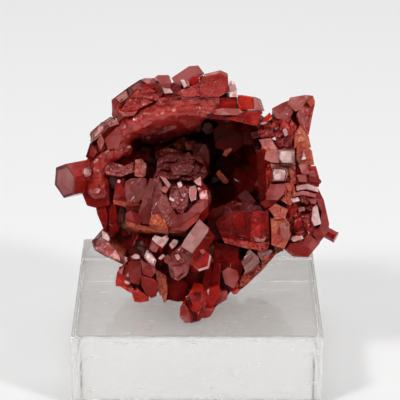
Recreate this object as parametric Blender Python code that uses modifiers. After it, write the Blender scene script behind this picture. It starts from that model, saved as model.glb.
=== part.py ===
"""Vanadinite on matrix, standing on a clear display block.

Deep red hexagonal crystals grow on a broken, iron-stained rock round an open hollow.
Each clump of crystals that have grown into each other is one solid, the rock is one
solid and the block is one solid. Neighbours keep a gap of 0.3 mm.

World frame: +Z up, the block's front face looks along -Y, and the origin is the centre
of the block's underside. The specimen is laid out in a frame of its own, in millimetres:
(right, up, out), with "out" square to the face that it shows. That frame leans back.
"""

import math
import random
from typing import NamedTuple

import bmesh
import bpy
from mathutils import Matrix, Vector

MM = 0.001
GAP = 0.3
# A plain crystal that grows by this much on each side keeps the gap at its corners too.
CLEARANCE = 1.25 * GAP

BLOCK_WIDTH = 31.75
BLOCK_HEIGHT = 9.5
BLOCK_EDGE = 0.35
# The specimen also keeps clear of the space beside and under the block.
CLEAR_BESIDE = 10.0
CLEAR_BELOW = 10.0

LEAN = math.radians(21.9)
SPECIMEN_CENTRE = Vector((-0.16, -2.1, BLOCK_HEIGHT + 13.9))

HOLLOW_CENTRE = Vector((-0.8, 3.6, -0.4))
HOLLOW_RADII = Vector((10.6, 7.9, 8.4))
CRUST_THICKNESS = 1.1
# The crust ends at this height towards the viewer, where a large block cuts it off.
MOUTH_OUT = -2.0
MOUTH_SIZE = 40.0


class Prism(NamedTuple):
    """A six-sided crystal. The axis points from its root to its end."""

    end: tuple
    axis: tuple
    half_width: float
    length: float
    roll: float = 0.0
    stretch: float = 1.0
    chamfer: float = 0.0


class Slab(NamedTuple):
    """A crystal seen on one flat face, which runs straight back from that face to its root.

    out is the face's height at the middle of its outline, slope is how fast that height
    changes to the right and up, and root is the way from the face to the root.
    """

    outline: tuple
    out: float
    slope: tuple
    root: tuple


# The crystals, clump by clump, from the front of the specimen to the back.

LEANING_CRYSTAL = (
    Prism((0.9, -4.6, 6.2), (0.52, 0.80, 0.24), 1.15, 8.0, roll=20, stretch=1.15),
    Prism((-2.7, -9.0, 6.1), (0.10, 0.30, 0.95), 1.45, 5.0, roll=10),
    Prism((-1.9, -10.2, 5.3), (0.15, -0.30, 0.95), 1.15, 4.0, roll=35),
    Prism((-1.5, -7.6, 5.9), (0.10, 0.35, 0.90), 1.25, 5.0, roll=5),
)

SMALL_HEX_CRYSTAL = (
    Prism((0.8, -8.5, 6.4), (0.22, 0.05, 1.0), 1.2, 4.2, roll=18, chamfer=0.3),
)

CENTRAL_CRYSTAL = (
    Prism((-2.6, -0.9, 5.4), (-0.04, 0.40, 0.92), 3.9, 3.6, roll=4, stretch=1.04,
          chamfer=0.75),
    Slab(((-6.6, -1.0), (-7.2, -2.4), (-6.9, -3.7), (-4.2, -4.5), (-1.6, -4.8), (0.2, -3.2),
          (-2.5, -1.5)), 4.6, (0.0, 0.0), (0.2, 0.6, -4.0)),
    Slab(((-10.6, -1.3), (-10.8, 0.3), (-9.2, 1.6), (-6.5, 1.8), (-5.9, 0.4), (-7.0, -1.5),
          (-8.8, -1.6)), 3.4, (0.06, -0.28), (0.2, 0.2, -4.0)),
    Slab(((-9.0, -1.5), (-7.0, -1.5), (-6.8, -3.6), (-8.6, -4.2), (-8.8, -3.0)), 2.9,
         (-0.1, -0.2), (0.2, 0.2, -4.0)),
)

# Stepped pits sunk in the middle of the two hopper-grown crystals.
CENTRAL_PITS = (
    Prism((-2.3, 0.1, 5.9), (-0.04, 0.40, 0.92), 1.9, 1.1, roll=4, stretch=1.1),
    Prism((-2.3, 0.1, 5.4), (-0.04, 0.40, 0.92), 1.1, 1.2, roll=4, stretch=1.1),
)

LOWER_CRYSTALS = (
    Slab(((-9.0, -9.3), (-10.1, -9.9), (-10.4, -10.6), (-10.5, -12.1), (-8.4, -12.9),
          (-8.0, -11.0)), 2.3, (0.2, 0.1), (0.4, 0.5, -3.5)),
    Slab(((-8.6, -8.8), (-7.0, -8.4), (-6.8, -12.0), (-7.9, -12.0), (-8.7, -11.1)), 3.4,
         (0.25, -0.15), (0.2, 0.4, -4.5)),
    Slab(((-6.9, -8.4), (-5.9, -8.8), (-5.0, -9.6), (-5.0, -11.4), (-6.8, -11.6)), 4.4,
         (0.1, -0.2), (0.2, 0.5, -5.0)),
    Slab(((-6.9, -11.0), (-5.0, -10.8), (-4.5, -13.5), (-5.8, -13.6), (-6.7, -12.6)), 3.9,
         (0.1, 0.15), (0.2, 0.6, -4.5)),
    Prism((-4.5, -6.2, 3.5), (0.34, 0.86, 0.38), 0.85, 6.0, roll=14),
    Prism((-5.6, -8.1, 4.7), (0.34, 0.80, 0.45), 0.75, 5.0, roll=14),
    Prism((-2.7, -6.5, 4.2), (0.30, 0.84, 0.42), 0.6, 5.0, roll=20),
    Prism((-4.2, -8.4, 4.4), (0.30, 0.84, 0.42), 0.5, 4.0, roll=8),
    Prism((-7.8, -8.2, 2.9), (0.20, 0.84, 0.50), 0.6, 3.0, roll=10),
    Slab(((-8.3, -12.9), (-7.9, -14.2), (-6.8, -14.2), (-6.0, -13.7), (-6.2, -12.4),
          (-7.6, -12.0)), 2.7, (0.1, 0.2), (0.2, 1.0, -3.0)),
    Slab(((-4.6, -12.4), (-3.6, -12.4), (-3.8, -13.9), (-4.1, -14.0)), 3.1, (0.0, 0.1),
         (0.0, 0.8, -2.5)),
    Slab(((-4.8, -11.0), (-2.3, -10.4), (-0.9, -11.8), (-1.4, -13.8), (-2.3, -13.9),
          (-3.8, -13.6)), 2.4,
         (0.0, 0.1), (0.0, 0.6, -3.5)),
    Slab(((-9.4, -8.6), (-3.4, -7.6), (-3.0, -12.4), (-6.0, -12.8), (-8.8, -12.0)), 1.6,
         (0.0, 0.0), (0.0, 0.8, -3.0)),
)

BOTTOM_TIP = (
    Slab(((-2.1, -14.2), (-2.1, -15.4), (-1.5, -16.2), (-0.6, -16.6), (-0.4, -14.8),
          (-0.9, -13.8)), 5.0, (0.1, 0.1), (0.5, 0.9, -2.5)),
    Slab(((-1.2, -13.3), (-0.6, -12.0), (1.3, -11.7), (1.5, -13.6), (1.4, -16.0), (0.5, -16.2),
          (-0.7, -16.5)), 4.7, (-0.1, 0.15), (0.3, 0.9, -2.5)),
    Slab(((0.4, -15.9), (0.8, -14.6), (2.0, -14.0), (3.0, -14.6), (2.2, -15.4), (1.4, -15.9)),
         4.6, (0.1, -0.1), (0.1, 0.9, -2.5)),
    Slab(((2.2, -13.7), (2.8, -12.6), (4.1, -12.3), (4.5, -13.1), (3.4, -14.2), (2.6, -14.8)),
         3.2, (0.1, -0.2), (-0.2, 0.6, -2.5)),
    Slab(((3.4, -10.1), (4.1, -9.1), (5.6, -9.6), (5.4, -11.0), (4.4, -11.8), (3.5, -11.4)),
         3.0, (0.15, -0.2), (0.0, 0.4, -3.0)),
    Prism((5.2, -12.6, 2.4), (0.60, -0.62, 0.50), 0.5, 2.4),
    Slab(((-1.6, -10.4), (0.5, -9.2), (5.0, -8.2), (6.2, -9.0), (5.5, -11.2), (4.0, -13.2),
          (2.1, -15.0), (0.6, -15.2), (-0.8, -13.0)), 2.0, (0.1, -0.15), (0.2, 1.4, -4.5)),
)

LOWER_RIGHT_CRYSTALS = (
    Slab(((6.8, -7.1), (8.3, -8.2), (8.0, -8.8), (6.9, -9.8), (6.2, -10.2), (5.9, -8.8)),
         3.0, (0.1, -0.1), (0.1, 0.3, -4.0)),
    Slab(((7.8, -7.3), (8.9, -6.6), (10.8, -7.2), (10.3, -8.0), (9.0, -8.7), (8.2, -8.3)),
         2.5, (0.1, -0.3), (-0.1, 0.6, -4.0)),
    Slab(((6.2, -10.0), (7.2, -9.6), (8.6, -8.4), (8.9, -9.1), (8.4, -10.2), (7.5, -10.8),
          (6.6, -11.7), (5.6, -12.5), (5.2, -11.6)), 1.8, (0.1, -0.1), (-0.3, 1.0, -3.5)),
)

RED_SHELF = (
    Slab(((1.4, -2.4), (4.8, -1.0), (8.2, -1.6), (9.2, -2.9), (9.2, -6.5), (8.0, -7.0),
          (5.0, -6.5), (1.6, -5.4)), 1.9, (0.06, -0.5), (0.0, -0.2, -4.0)),
    Slab(((3.5, -4.2), (5.7, -2.9), (9.1, -2.9), (9.2, -6.6), (8.0, -7.1), (6.0, -6.7),
          (4.2, -6.2)), 2.8, (0.05, -0.32), (0.0, 0.4, -4.0)),
    Slab(((1.6, -5.4), (6.2, -6.6), (5.9, -8.6), (3.8, -8.8), (2.0, -7.8)), 1.9,
         (0.05, 0.1), (0.0, 0.6, -4.0)),
)

STAINED_CRYSTAL = (
    Slab(((9.5, -1.9), (10.2, -1.4), (11.6, -2.2), (11.8, -5.2), (11.0, -6.9), (9.5, -6.6)),
         4.0, (0.1, 0.0), (0.0, 0.1, -5.0)),
)

HOPPER_CRYSTAL = (
    Slab(((12.4, -1.0), (14.6, 0.8), (15.6, 0.9), (16.5, -0.6), (17.2, -4.2), (16.0, -6.4),
          (14.3, -8.3), (12.3, -8.1), (11.1, -7.1), (11.5, -3.8)), 3.4, (-0.22, 0.12),
         (-0.3, 0.4, -5.0)),
    Prism((17.9, -5.7, 2.5), (0.84, -0.45, 0.20), 0.68, 3.2, roll=12),
)

HOPPER_PITS = (
    Slab(((12.4, -1.9), (14.4, -0.6), (15.2, -1.9), (15.2, -4.3), (13.9, -5.6), (12.2, -5.2)),
         4.6, (-0.22, 0.12), (-0.2, 0.2, -2.4)),
    Slab(((12.9, -2.4), (14.2, -1.5), (14.6, -2.5), (14.5, -3.9), (13.6, -4.7), (12.7, -4.3)),
         4.6, (-0.22, 0.12), (-0.2, 0.2, -3.4)),
)

RIGHT_COLUMN = (
    Slab(((9.0, 5.3), (9.8, 5.5), (10.9, 5.4), (10.9, 4.1), (9.8, 3.9), (9.2, 4.3)), 3.8,
         (0.1, -0.15), (0.0, 0.0, -4.0)),
    Slab(((10.6, 5.2), (11.6, 5.4), (12.7, 5.3), (12.7, 3.5), (11.2, 3.5), (10.5, 3.9)), 4.1,
         (0.05, -0.1), (0.0, 0.0, -4.0)),
    Slab(((9.8, 3.2), (11.5, 3.4), (11.8, 2.4), (11.7, 1.4), (9.8, 1.5)), 4.2, (0.05, -0.2),
         (0.0, 0.2, -4.0)),
    Slab(((9.7, 1.2), (11.5, 1.2), (11.3, -0.3), (10.5, -0.9), (8.8, -0.6)), 4.3,
         (-0.1, -0.25), (0.0, 0.2, -4.0)),
    Slab(((8.4, -1.3), (8.9, -0.5), (10.4, -0.7), (10.0, -1.6), (9.0, -1.9)), 3.4, (0.0, 0.2),
         (0.2, 0.2, -3.5)),
    Slab(((11.4, -0.4), (11.6, 1.4), (12.5, 1.7), (13.0, 0.4), (12.7, -1.3), (12.0, -1.7)),
         3.9, (-0.1, 0.0), (0.0, 0.2, -4.0)),
    Slab(((12.8, 4.2), (13.3, 5.5), (14.5, 7.0), (14.9, 5.8), (15.1, 4.7), (15.3, 3.3),
          (13.0, 3.1)), 2.8, (-0.3, 0.0), (-0.4, 0.0, -5.0)),
    Slab(((12.7, 3.2), (15.5, 3.4), (15.9, 1.7), (15.8, 0.8), (12.8, 0.6)), 3.0,
         (-0.25, -0.05), (-0.4, 0.0, -5.0)),
    Slab(((13.4, 3.5), (13.9, 3.9), (14.5, 3.4), (14.4, 2.5), (13.6, 2.6)), 3.7, (0.0, -0.3),
         (0.0, 0.0, -2.5)),
    Slab(((13.2, 2.2), (14.1, 2.4), (14.3, 1.4), (13.4, 1.4)), 3.8, (0.0, -0.3),
         (0.0, 0.0, -2.5)),
    Prism((14.2, 0.3, 3.9), (-0.20, 0.55, 0.80), 0.85, 3.0, roll=24, stretch=1.6),
    Prism((14.3, -0.4, 4.1), (-0.20, 0.55, 0.80), 0.8, 3.0, roll=24, stretch=1.6),
    Prism((13.2, -0.5, 4.3), (-0.10, 0.50, 0.85), 0.6, 3.0, roll=10, stretch=1.5),
    Slab(((7.7, 5.6), (9.2, 5.5), (9.7, 3.6), (9.9, 1.2), (9.0, -1.0), (8.2, -1.4),
          (7.9, 1.7)), 1.9, (0.7, 0.0), (0.2, 0.0, -4.0)),
    Slab(((8.6, 5.4), (13.4, 6.0), (15.0, 4.6), (15.3, 1.0), (13.4, -1.2), (8.8, -1.4)), 1.6,
         (0.0, 0.0), (-0.5, 0.0, -4.5)),
)

RIGHT_EAR = (
    Slab(((13.4, 12.5), (15.2, 12.5), (15.5, 10.2), (14.9, 8.1), (14.5, 6.6), (13.2, 5.6),
          (12.6, 6.4), (12.5, 9.4), (12.8, 11.0)), 2.8, (-0.45, 0.0), (-0.8, -0.8, -4.5)),
    Slab(((12.0, 11.9), (13.4, 12.5), (14.2, 12.5), (13.8, 11.2), (12.5, 10.2), (12.0, 10.6)),
         3.4, (0.15, -0.2), (-0.1, -0.6, -3.0)),
    Slab(((10.2, 10.9), (11.0, 11.1), (12.0, 11.8), (12.6, 10.4), (12.4, 9.2), (10.8, 9.1),
          (10.1, 9.7)), 3.0, (0.1, -0.15), (0.0, -0.8, -3.5)),
    Slab(((8.6, 9.2), (9.3, 10.2), (9.9, 10.2), (10.4, 9.3), (9.4, 8.9)), 2.7, (0.1, 0.1),
         (0.4, -0.6, -3.0)),
    Slab(((8.1, 8.4), (9.4, 9.2), (12.6, 9.3), (12.9, 6.8), (11.5, 5.9), (8.6, 6.9),
          (7.9, 7.7)), 2.3, (0.1, -0.05), (0.2, -0.4, -4.0)),
    Slab(((8.1, 6.9), (9.4, 6.8), (10.4, 6.1), (8.6, 5.9)), 3.1, (0.1, -0.2),
         (0.2, 0.0, -3.5)),
)

CROWN_CRYSTALS = (
    Slab(((-5.2, 14.8), (-4.8, 15.0), (-3.5, 15.0), (-3.2, 14.6), (-2.9, 12.9), (-4.1, 12.6),
          (-4.6, 13.6)), 4.2, (0.0, -0.25), (0.1, 0.1, -4.0)),
    Slab(((-3.0, 14.7), (-0.9, 16.2), (0.3, 16.3), (1.2, 15.3), (-0.3, 14.9), (-0.9, 14.2),
          (-2.6, 13.9)), 3.0, (0.0, -0.6), (0.1, -1.4, -3.5)),
    Prism((-1.4, 13.9, 4.3), (0.40, 0.30, 0.86), 0.5, 3.0, roll=12, stretch=1.3),
    Slab(((-0.8, 12.5), (0.4, 14.2), (1.3, 15.2), (3.6, 15.5), (4.0, 14.6), (4.2, 12.4),
          (2.5, 11.8), (0.5, 12.0)), 3.9, (0.0, 0.12), (0.1, 0.2, -5.0)),
    Slab(((4.1, 13.7), (4.3, 14.2), (4.7, 14.0), (5.0, 13.2), (5.1, 12.1), (4.2, 12.1)), 3.5,
         (0.15, -0.2), (0.0, 0.0, -4.0)),
    Slab(((4.9, 12.4), (7.5, 12.2), (8.1, 10.3), (7.5, 8.8), (5.0, 9.4)), 3.2, (-0.1, 0.1),
         (0.9, 0.2, -4.0)),
    Slab(((5.4, 10.4), (8.6, 10.2), (7.7, 8.5), (6.2, 8.7)), 3.5, (0.0, 0.35),
         (0.1, 0.3, -3.5)),
    Slab(((2.7, 10.7), (3.7, 10.8), (6.0, 10.6), (5.7, 10.1), (2.8, 9.9)), 3.8, (0.0, -0.8),
         (0.0, 0.3, -3.0)),
    Slab(((-0.8, 12.4), (4.8, 12.2), (6.0, 10.4), (3.7, 9.3), (1.2, 9.6), (-1.4, 10.0)), 2.5,
         (0.0, 0.45), (0.0, 0.8, -4.0)),
)

CANOPY_CRYSTALS = (
    Slab(((-10.2, 9.3), (-10.0, 11.1), (-8.5, 12.5), (-7.2, 13.1), (-5.6, 10.4), (-7.4, 8.4),
          (-9.4, 7.7)), 2.9, (-0.12, 0.45), (-0.8, 0.9, -5.5)),
    Slab(((-8.1, 11.7), (-7.8, 13.1), (-6.1, 14.0), (-4.4, 13.9), (-2.4, 12.4), (-0.6, 12.2),
          (-0.8, 9.8), (-4.0, 9.2), (-6.8, 9.6)), 3.0, (0.04, 0.42), (-0.6, 1.0, -5.5)),
    Slab(((-12.6, 6.6), (-12.7, 7.1), (-11.5, 8.2), (-10.0, 9.2), (-8.2, 8.3), (-8.6, 6.6),
          (-10.6, 5.4), (-12.5, 5.3)), 2.6, (-0.2, 0.22), (-1.1, 0.8, -5.0)),
    Slab(((-13.4, 6.6), (-12.5, 5.7), (-12.4, 4.6), (-14.0, 4.2), (-14.3, 4.7)), 2.1,
         (0.35, -0.05), (0.2, -0.2, -4.5)),
    Slab(((-12.9, 5.6), (-11.5, 5.4), (-11.9, 3.6), (-12.8, 1.9), (-14.4, 1.7),
          (-14.0, 4.3)), 2.4, (-0.1, 0.0), (0.2, 0.2, -5.0)),
)

LEFT_TABLET = (
    Prism((-16.8, 1.5, 1.6), (-0.74, -0.16, 0.66), 2.0, 5.4, roll=16),
    Slab(((-16.1, 3.1), (-15.2, 3.4), (-14.8, 2.6), (-15.4, 1.2), (-16.0, 1.6)), 2.5,
         (0.1, -0.1), (0.5, 0.0, -3.0)),
    Prism((-14.0, 2.7, 2.6), (-0.15, 0.20, 0.95), 0.62, 3.0, roll=15),
)

LEFT_WALL_CRYSTALS = (
    Slab(((-14.6, -0.1), (-14.3, 2.2), (-12.7, 2.2), (-11.2, 1.0), (-11.0, -1.5), (-12.9, -1.9),
          (-14.0, -1.6)), 1.9, (0.1, 0.1), (0.6, 0.2, -5.0)),
    Slab(((-12.9, -1.7), (-11.8, -0.9), (-11.3, -2.8), (-11.5, -5.0), (-11.9, -4.6),
          (-12.7, -2.7)), 1.0, (0.2, 0.0), (0.5, 0.2, -5.0)),
    Slab(((-12.0, 3.5), (-11.0, 3.9), (-8.4, 3.4), (-8.1, 2.3), (-10.8, 2.1), (-11.8, 2.6)),
         1.2, (0.0, -0.6), (0.0, -0.8, -3.5)),
    Slab(((-7.9, 4.0), (-7.2, 4.4), (-6.3, 3.7), (-6.3, 2.3), (-7.8, 2.1)), 1.3, (0.1, -0.2),
         (0.2, -0.6, -4.0)),
    Slab(((-11.9, 2.6), (-6.2, 2.4), (-6.4, 0.6), (-11.4, 0.4)), 0.3, (0.0, 0.5),
         (0.0, -0.4, -3.5)),
    Slab(((-11.9, -0.9), (-7.2, -1.6), (-4.0, -4.5), (-3.6, -7.2), (-5.9, -8.4), (-9.2, -8.6),
          (-11.1, -6.1)), -0.6, (0.0, 0.0), (0.3, 0.4, -4.5)),
    Prism((-8.8, -5.0, 0.9), (0.05, 0.55, 0.84), 0.9, 4.0, roll=30),
    Prism((-10.6, -3.4, 0.7), (-0.10, 0.30, 0.94), 0.9, 4.0, roll=4),
    Prism((-6.4, -5.6, 0.6), (0.10, 0.40, 0.90), 0.8, 4.0, roll=12),
)

LOWER_LEFT_LEAF = (
    Slab(((-12.0, -4.6), (-13.4, -6.2), (-13.0, -7.3), (-11.7, -8.1), (-10.3, -8.7),
          (-9.0, -9.3), (-9.3, -8.0), (-10.5, -6.7)), 1.8, (0.2, -0.35), (0.6, 0.7, -3.0)),
    Slab(((-12.0, -4.8), (-11.4, -5.1), (-11.0, -5.7), (-11.1, -6.2), (-12.0, -5.7)), 2.4,
         (0.1, -0.2), (0.2, 0.2, -2.5)),
)

HOLLOW_CRYSTALS = (
    Prism((4.3, 7.3, -1.5), (0.10, -0.05, 0.99), 2.0, 7.0, roll=40),
    Slab(((6.1, 8.7), (8.0, 8.7), (8.0, 6.3), (6.1, 6.3)), -1.0, (0.0, 0.0), (0.3, 0.3, -6.0)),
    Prism((1.5, 8.4, -1.8), (0.0, -0.20, 0.98), 0.7, 5.0, roll=10),
    Slab(((0.0, 6.6), (1.3, 6.3), (1.8, 4.9), (1.6, 3.0), (1.1, 1.8), (-0.4, 2.2),
          (-0.4, 5.5)), -1.6, (0.2, 0.0), (-0.3, 0.0, -7.0)),
    Prism((-2.6, 4.2, -4.6), (0.25, -0.10, 0.96), 1.3, 5.0, roll=12),
    Prism((-5.6, 5.2, -4.4), (0.35, -0.25, 0.90), 1.2, 5.0, roll=33),
    Prism((-2.0, 7.4, -4.4), (0.05, -0.30, 0.95), 1.2, 5.0, roll=20),
    Prism((3.8, 3.6, -5.4), (-0.10, 0.10, 0.99), 1.2, 4.0, roll=8),
    Prism((6.2, 2.4, -4.2), (-0.40, 0.10, 0.90), 1.3, 5.0, roll=28),
    Prism((4.6, 0.2, -4.4), (-0.10, 0.50, 0.86), 1.2, 5.0, roll=15),
    Prism((1.4, 0.2, -4.8), (0.10, 0.45, 0.88), 1.1, 5.0, roll=5),
    Prism((-8.4, 5.8, -3.2), (0.60, -0.30, 0.74), 1.0, 5.0, roll=18),
    Prism((-6.6, 2.4, -4.4), (0.40, 0.30, 0.86), 1.1, 4.0, roll=48),
)

# Convex lumps of rock: (centre, radii). Together they are the matrix.
ROCK_LUMPS = (
    ((-1.0, -1.0, -6.4), (11.0, 10.4, 6.0)),
    ((7.5, -1.5, -5.0), (6.6, 7.6, 5.4)),
    ((-6.3, 5.3, -5.2), (6.6, 6.0, 5.4)),
    ((0.9, 8.6, -4.4), (6.6, 5.0, 4.6)),
    ((6.0, 7.6, -3.6), (4.2, 3.4, 3.6)),
    ((-0.5, -7.4, -3.4), (7.6, 5.4, 5.6)),
    ((11.2, 4.6, -2.6), (3.6, 5.0, 4.2)),
    ((-8.8, -2.0, -3.4), (3.6, 5.2, 4.6)),
)
ROCK_POINTS = 46
ROCK_REACH = (0.86, 1.08)

# Crystals on the sides and the back, spread evenly over an oval round the rock.
REAR_CENTRE = Vector((0.3, 0.6, -4.6))
REAR_RADII = Vector((13.6, 12.2, 8.0))
REAR_COUNT = 60
REAR_FRONT_LIMIT = 0.22
# How far out the crystals end, as shares of the oval, and how much less in front.
REAR_REACH = (0.90, 0.98)
REAR_FRONT_LOSS = 0.08
REAR_TURN = (-0.2, 0.2)
REAR_TILT = (-0.5, 0.5)
REAR_HALF_WIDTH = (0.75, 1.9)
REAR_LENGTH = (3.5, 5.5)
REAR_STRETCH = (1.0, 1.5)
GOLDEN_TURN = math.pi * (3.0 - math.sqrt(5.0))


def face_frame():
    """The matrix from the specimen's frame in millimetres to the world in metres."""
    right = Vector((1.0, 0.0, 0.0))
    up = Vector((0.0, math.sin(LEAN), math.cos(LEAN)))
    out = Vector((0.0, -math.cos(LEAN), math.sin(LEAN)))
    turn = Matrix((right, up, out)).transposed().to_4x4()
    return Matrix.Scale(MM, 4) @ Matrix.Translation(SPECIMEN_CENTRE) @ turn


def hexagon(half_width, stretch, rng):
    """Six corners with 120-degree angles, whose sides lie at slightly uneven distances."""
    turns = [math.radians(30.0 + 60.0 * i) for i in range(6)]
    reach = [half_width * (1.0 + (stretch - 1.0) * abs(math.cos(t))) * rng.uniform(0.92, 1.08)
             for t in turns]
    corners = []
    for i in range(6):
        before, after = turns[i - 1], turns[i]
        spread = math.sin(after - before)
        x = (reach[i - 1] * math.sin(after) - reach[i] * math.sin(before)) / spread
        y = (reach[i] * math.cos(before) - reach[i - 1] * math.cos(after)) / spread
        corners.append(Vector((x, y, 0.0)))
    return corners


def extruded(corners, way):
    """A closed solid from a flat outline and the way to its other end."""
    bm = bmesh.new()
    front = bm.faces.new([bm.verts.new(corner) for corner in corners])
    far = bmesh.ops.extrude_face_region(bm, geom=[front])["geom"]
    moved = [item for item in far if isinstance(item, bmesh.types.BMVert)]
    bmesh.ops.translate(bm, vec=way, verts=moved)
    bmesh.ops.recalc_face_normals(bm, faces=bm.faces)
    return bm


def end_face(bm, axis):
    """The face that looks most nearly along the axis."""
    bm.normal_update()
    return max(bm.faces, key=lambda face: face.normal.dot(axis))


def prism_mesh(crystal, rng):
    """The solid of a Prism, in the specimen's frame."""
    axis = Vector(crystal.axis).normalized()
    turn = Vector((0.0, 0.0, 1.0)).rotation_difference(axis).to_matrix()
    turn = turn @ Matrix.Rotation(math.radians(crystal.roll), 3, "Z")
    end = Vector(crystal.end)
    corners = [end + turn @ c for c in hexagon(crystal.half_width, crystal.stretch, rng)]
    bm = extruded(corners, -axis * crystal.length)
    if crystal.chamfer:
        bmesh.ops.bevel(bm, geom=list(end_face(bm, axis).edges), offset=crystal.chamfer, segments=1,
                        profile=0.5, affect="EDGES")
    return bm


def slab_mesh(slab):
    """The solid of a Slab, in the specimen's frame."""
    middle_x = sum(x for x, _ in slab.outline) / len(slab.outline)
    middle_y = sum(y for _, y in slab.outline) / len(slab.outline)
    corners = []
    for x, y in slab.outline:
        rise = slab.slope[0] * (x - middle_x) + slab.slope[1] * (y - middle_y)
        corners.append(Vector((x, y, slab.out + rise)))
    return extruded(corners, Vector(slab.root))


def crystal_mesh(crystal, seed):
    """The solid of either kind of crystal."""
    if isinstance(crystal, Prism):
        return prism_mesh(crystal, random.Random(seed))
    return slab_mesh(crystal)


def rock_mesh(centre, radii, rng):
    """A broken lump of rock: the hull of points scattered over an oval."""
    bm = bmesh.new()
    for i in range(ROCK_POINTS):
        z = 1.0 - 2.0 * (i + 0.5) / ROCK_POINTS
        ring = math.sqrt(1.0 - z * z)
        turn = GOLDEN_TURN * i
        reach = rng.uniform(*ROCK_REACH)
        unit = Vector((ring * math.cos(turn), z, ring * math.sin(turn)))
        bm.verts.new(Vector(centre) + unit * Vector(radii) * reach)
    hull = bmesh.ops.convex_hull(bm, input=bm.verts)
    inside = [item for item in hull["geom_interior"] if isinstance(item, bmesh.types.BMVert)]
    bmesh.ops.delete(bm, geom=inside, context="VERTS")
    bmesh.ops.recalc_face_normals(bm, faces=bm.faces)
    return bm


def oval_mesh(centre, radii):
    """A low-sided oval."""
    bm = bmesh.new()
    bmesh.ops.create_icosphere(bm, subdivisions=2, radius=1.0)
    bmesh.ops.scale(bm, vec=radii, verts=bm.verts)
    bmesh.ops.translate(bm, vec=centre, verts=bm.verts)
    return bm


def rear_crystals():
    """Crystals that point away from the rock on its sides and back."""
    rng = random.Random(11)
    found = []
    for i in range(REAR_COUNT):
        out = REAR_FRONT_LIMIT - (1.0 + REAR_FRONT_LIMIT) * (i + 0.5) / REAR_COUNT
        ring = math.sqrt(1.0 - out * out)
        turn = GOLDEN_TURN * i + rng.uniform(*REAR_TURN)
        unit = Vector((ring * math.cos(turn), ring * math.sin(turn), out))
        far = REAR_REACH[1] - REAR_FRONT_LOSS * out
        end = REAR_CENTRE + unit * REAR_RADII * rng.uniform(REAR_REACH[0], far)
        tilt = Vector([rng.uniform(*REAR_TILT) for _ in range(3)])
        found.append(Prism(tuple(end), tuple(unit + tilt), rng.uniform(*REAR_HALF_WIDTH),
                           rng.uniform(*REAR_LENGTH), roll=rng.uniform(0.0, 60.0),
                           stretch=rng.uniform(*REAR_STRETCH)))
    return found


def widened(outline, by):
    """An outline with each side moved out."""
    points = [Vector(point) for point in outline]
    turning = sum(points[i - 1].cross(point) for i, point in enumerate(points))
    if turning > 0.0:
        points.reverse()
    wide = []
    for i, point in enumerate(points):
        before = (point - points[i - 1]).normalized()
        after = (points[(i + 1) % len(points)] - point).normalized()
        side_before = Vector((-before.y, before.x))
        side_after = Vector((-after.y, after.x))
        mitre = (side_before + side_after).normalized()
        wide.append(tuple(point + mitre * min(by / mitre.dot(side_after), 2.0 * by)))
    return tuple(wide)


def with_clearance(crystal):
    """The plain crystal, big enough to hold the gap round the real one."""
    if isinstance(crystal, Prism):
        axis = Vector(crystal.axis).normalized()
        end = tuple(Vector(crystal.end) + axis * CLEARANCE)
        return crystal._replace(end=end, half_width=crystal.half_width + CLEARANCE,
                                length=crystal.length + 2.0 * CLEARANCE, chamfer=0.0)
    root = Vector(crystal.root)
    return crystal._replace(outline=widened(crystal.outline, CLEARANCE),
                            out=crystal.out + CLEARANCE,
                            root=tuple(root + root.normalized() * 2.0 * CLEARANCE))


def add_object(name, bm, collection):
    """An object from a solid in the specimen's frame. The solid is used up."""
    bm.transform(face_frame())
    mesh = bpy.data.meshes.new(name)
    bm.to_mesh(mesh)
    bm.free()
    obj = bpy.data.objects.new(name, mesh)
    collection.objects.link(obj)
    return obj


def combine(obj, operation, others):
    """Join others to an object, or cut or clip it with them, and apply the result."""
    group = bpy.data.collections.new("operands")
    for other in others:
        group.objects.link(other)
    boolean = obj.modifiers.new(operation.lower(), "BOOLEAN")
    boolean.operation = operation
    boolean.solver = "EXACT"
    boolean.operand_type = "COLLECTION"
    boolean.collection = group
    bpy.context.view_layer.update()
    graph = bpy.context.evaluated_depsgraph_get()
    result = bpy.data.meshes.new_from_object(obj.evaluated_get(graph))
    obj.modifiers.remove(boolean)
    spent = obj.data
    obj.data = result
    bpy.data.meshes.remove(spent)
    bpy.data.collections.remove(group)


def discard(objects):
    """Remove objects and their meshes."""
    for obj in objects:
        mesh = obj.data
        bpy.data.objects.remove(obj)
        bpy.data.meshes.remove(mesh)


def keep_largest_body(obj):
    """Drop the crumbs that a cut leaves beside the main body."""
    bm = bmesh.new()
    bm.from_mesh(obj.data)
    waiting = set(bm.verts)
    bodies = []
    while waiting:
        body = {waiting.pop()}
        edge_of_body = list(body)
        while edge_of_body:
            vert = edge_of_body.pop()
            for edge in vert.link_edges:
                other = edge.other_vert(vert)
                if other not in body:
                    body.add(other)
                    edge_of_body.append(other)
        waiting -= body
        bodies.append(body)
    largest = max(bodies, key=len)
    crumbs = [vert for body in bodies if body is not largest for vert in body]
    bmesh.ops.delete(bm, geom=crumbs, context="VERTS")
    bm.to_mesh(obj.data)
    bm.free()


def new_material(name, colour, roughness, transmission=0.0):
    """A Principled material."""
    material = bpy.data.materials.new(name)
    material.use_nodes = True
    shader = material.node_tree.nodes["Principled BSDF"]
    shader.inputs["Base Color"].default_value = (*colour, 1.0)
    shader.inputs["Roughness"].default_value = roughness
    shader.inputs["Metallic"].default_value = 0.0
    shader.inputs["Transmission Weight"].default_value = transmission
    material.diffuse_color = (*colour, 1.0)
    return material


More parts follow.
